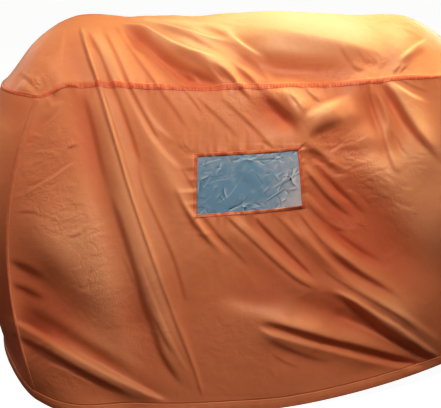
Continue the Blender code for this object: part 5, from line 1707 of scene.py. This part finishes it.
body_plastic = make_plastic("lock_body_plastic", (0.020, 0.020, 0.022), (0.060, 0.060, 0.062))
button_plastic = make_plastic("lock_button_plastic", (0.030, 0.030, 0.033), (0.085, 0.085, 0.088))
for node, finish in (("cord_lock_body", body_plastic), ("cord_lock_plunger", button_plastic),
                     ("cord_end_bead_left", body_plastic), ("cord_end_bead_right", body_plastic)):
    frame["nodes"][node].material_slots[0].material = finish
print("cord lock finished")

# %% Spring that gives way
SPRING_WIRE, SPRING_COILS, SPRING_STEPS, SPRING_KEEP = 0.0006, 4, 24, 0.47
low, high = (np.array(corner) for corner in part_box("cord_lock_spring"))
wound = np.linspace(0.0, 2.0 * math.pi * SPRING_COILS, SPRING_STEPS * SPRING_COILS + 1)
coil_radius = (high[1] - low[1] - SPRING_WIRE) / 2.0
axis_y, axis_z = (low[1:] + high[1:]) / 2.0
coil = np.stack([mix(low[0] + SPRING_WIRE / 2.0, high[0] - SPRING_WIRE / 2.0, wound / wound[-1]),
                 axis_y + coil_radius * np.cos(wound), axis_z + coil_radius * np.sin(wound)], -1)
spring = tube("lock_spring", coil, SPRING_WIRE / 2.0)
spring.data.materials.append(wire.material)
dress(spring, ["cord_lock_spring"])
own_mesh(spring)
print("spring", round(float(high[0] - low[0]) * 1000, 2), "mm long")

# %% [markdown]
# ## Cloth facts
# The loop below only names the hem channel at each seat's end.

for seat, body in zip(seats, seat_threads):
    ("hem_channel_left"
             if body == "seat_left" else "hem_channel_right")

# %% [markdown]
# ## Floor, light and background
# The photograph was taken in soft daylight from high above, and seven lamps stand in for it. Two
# have narrow cones: one lights the right of the roof from behind, where the photograph is
# brightest, and one the upper left corner. The key lamp is high in front, so the crests that face
# up are bright and the lower wall falls into shade. The floor is pale and plain.

# %% Floor
FLOOR_SIZE, FLOOR_DROP = 24.0, 0.0005
floor_mesh = bpy.data.meshes.new("floor")
floor_mesh.from_pydata([(x * FLOOR_SIZE / 2.0, y * FLOOR_SIZE / 2.0, 0.0)
                        for x, y in ((-1, -1), (1, -1), (1, 1), (-1, 1))], [], [(0, 1, 2, 3)])
floor = add_object("floor", floor_mesh)
floor_finish = Finish("pale_floor", Roughness=0.9, Emission_Color=(1.0, 1.0, 1.0, 1.0),
                      Emission_Strength=0.95, Specular_IOR_Level=0.1)
clouds = floor_finish.noise(floor_finish.position(), 1.2, 2.0)
floor_finish.connect(floor_finish.blend(clouds, colour(0.16, 0.16, 0.16), colour(0.20, 0.20, 0.20)),
                     "Base Color")
floor_mesh.materials.append(floor_finish.material)
floor.location.z = -FLOOR_DROP
floor.visible_diffuse = floor.visible_glossy = False
print("floor", FLOOR_SIZE, "m square")


# %% Lamps
def lamp(name, place, aim, size, power, tint=(1.0, 1.0, 1.0), cone=None):
    if cone is None:
        data = bpy.data.lights.new(name, "AREA")
        data.shape = "RECTANGLE"
        data.size, data.size_y = size
    else:
        data = bpy.data.lights.new(name, "SPOT")
        data.shadow_soft_size = size[0] / 2.0
        data.spot_size, data.spot_blend = cone, 1.0
    data.energy = power
    data.color = tint
    light = add_object(name, data)
    light.location = place
    light.rotation_euler = (Vector(place) - Vector(aim)).to_track_quat("Z", "Y").to_euler()
    light.visible_camera = False
    return light


lamp("key", (0.32, -0.95, 2.00), (0.0, -0.3, 0.5), (0.4, 0.4), 16.8, (1.0, 0.98, 0.92))
back_lamp = lamp("back_lamp", (0.99, 0.90, 2.60), (0.22, -0.20, 0.86), (0.5, 0.5), 500.0,
                 (1.0, 0.97, 0.88), cone=math.radians(35))
back_lamp.visible_glossy = False
lamp("left_lamp", (-1.30, -0.90, 1.90), (-0.5, -0.2, 0.8), (0.8, 0.8), 6.0, (1.0, 0.97, 0.90))
lamp("corner_lamp", (-1.20, -0.70, 1.90), (-0.60, -0.10, 0.90), (0.5, 0.5), 22.0,
     (1.0, 0.96, 0.94), cone=math.radians(32))
for side, power in ((-1, 20.0), (1, 30.0)):
    lamp(f"rear_lamp_{side}", (side * 2.4, 2.2, 1.8), (side * 0.3, 0.3, 0.45), (1.4, 1.2), power,
         (1.0, 0.98, 0.94))
lamp("front_lamp", (0.6, -3.2, 1.9), (-0.1, -0.2, 0.5), (1.4, 1.2), 1.0)
print("seven lamps")

# %% Background
SKY_REACH = 0.9
GROUND_GLOW, SKY_GLOW = colour(0.050, 0.013, 0.010), colour(0.100, 0.055, 0.042)
TONE_POINTS = ((0.15, 0.13), (0.40, 0.40), (0.80, 0.84))
world = bpy.data.worlds.new("studio")
bpy.context.scene.world = world
world.use_nodes = True
sky = world.node_tree
direction = sky.nodes.new("ShaderNodeTexCoord")
height = sky.nodes.new("ShaderNodeSeparateXYZ")
sky.links.new(direction.outputs["Generated"], height.inputs[0])
level = sky.nodes.new("ShaderNodeMapRange")
level.inputs["From Min"].default_value = -SKY_REACH
level.inputs["From Max"].default_value = SKY_REACH
sky.links.new(height.outputs["Z"], level.inputs["Value"])
ambient = sky.nodes.new("ShaderNodeMix")
ambient.data_type = "RGBA"
ambient.inputs[6].default_value, ambient.inputs[7].default_value = GROUND_GLOW, SKY_GLOW
sky.links.new(level.outputs[0], ambient.inputs[0])
path_kind = sky.nodes.new("ShaderNodeLightPath")
backdrop = sky.nodes.new("ShaderNodeMix")
backdrop.data_type = "RGBA"
backdrop.inputs[7].default_value = (1.0, 1.0, 1.0, 1.0)
sky.links.new(ambient.outputs[2], backdrop.inputs[6])
sky.links.new(path_kind.outputs["Is Camera Ray"], backdrop.inputs[0])
sky.links.new(backdrop.outputs[2], sky.nodes["Background"].inputs["Color"])
bpy.context.scene.view_settings.view_transform = "Standard"
bpy.context.scene.view_settings.use_curve_mapping = True
tones = bpy.context.scene.view_settings.curve_mapping
for given, shown_as in TONE_POINTS:
    tones.curves[3].points.new(given, shown_as)
tones.update()
print("background set")
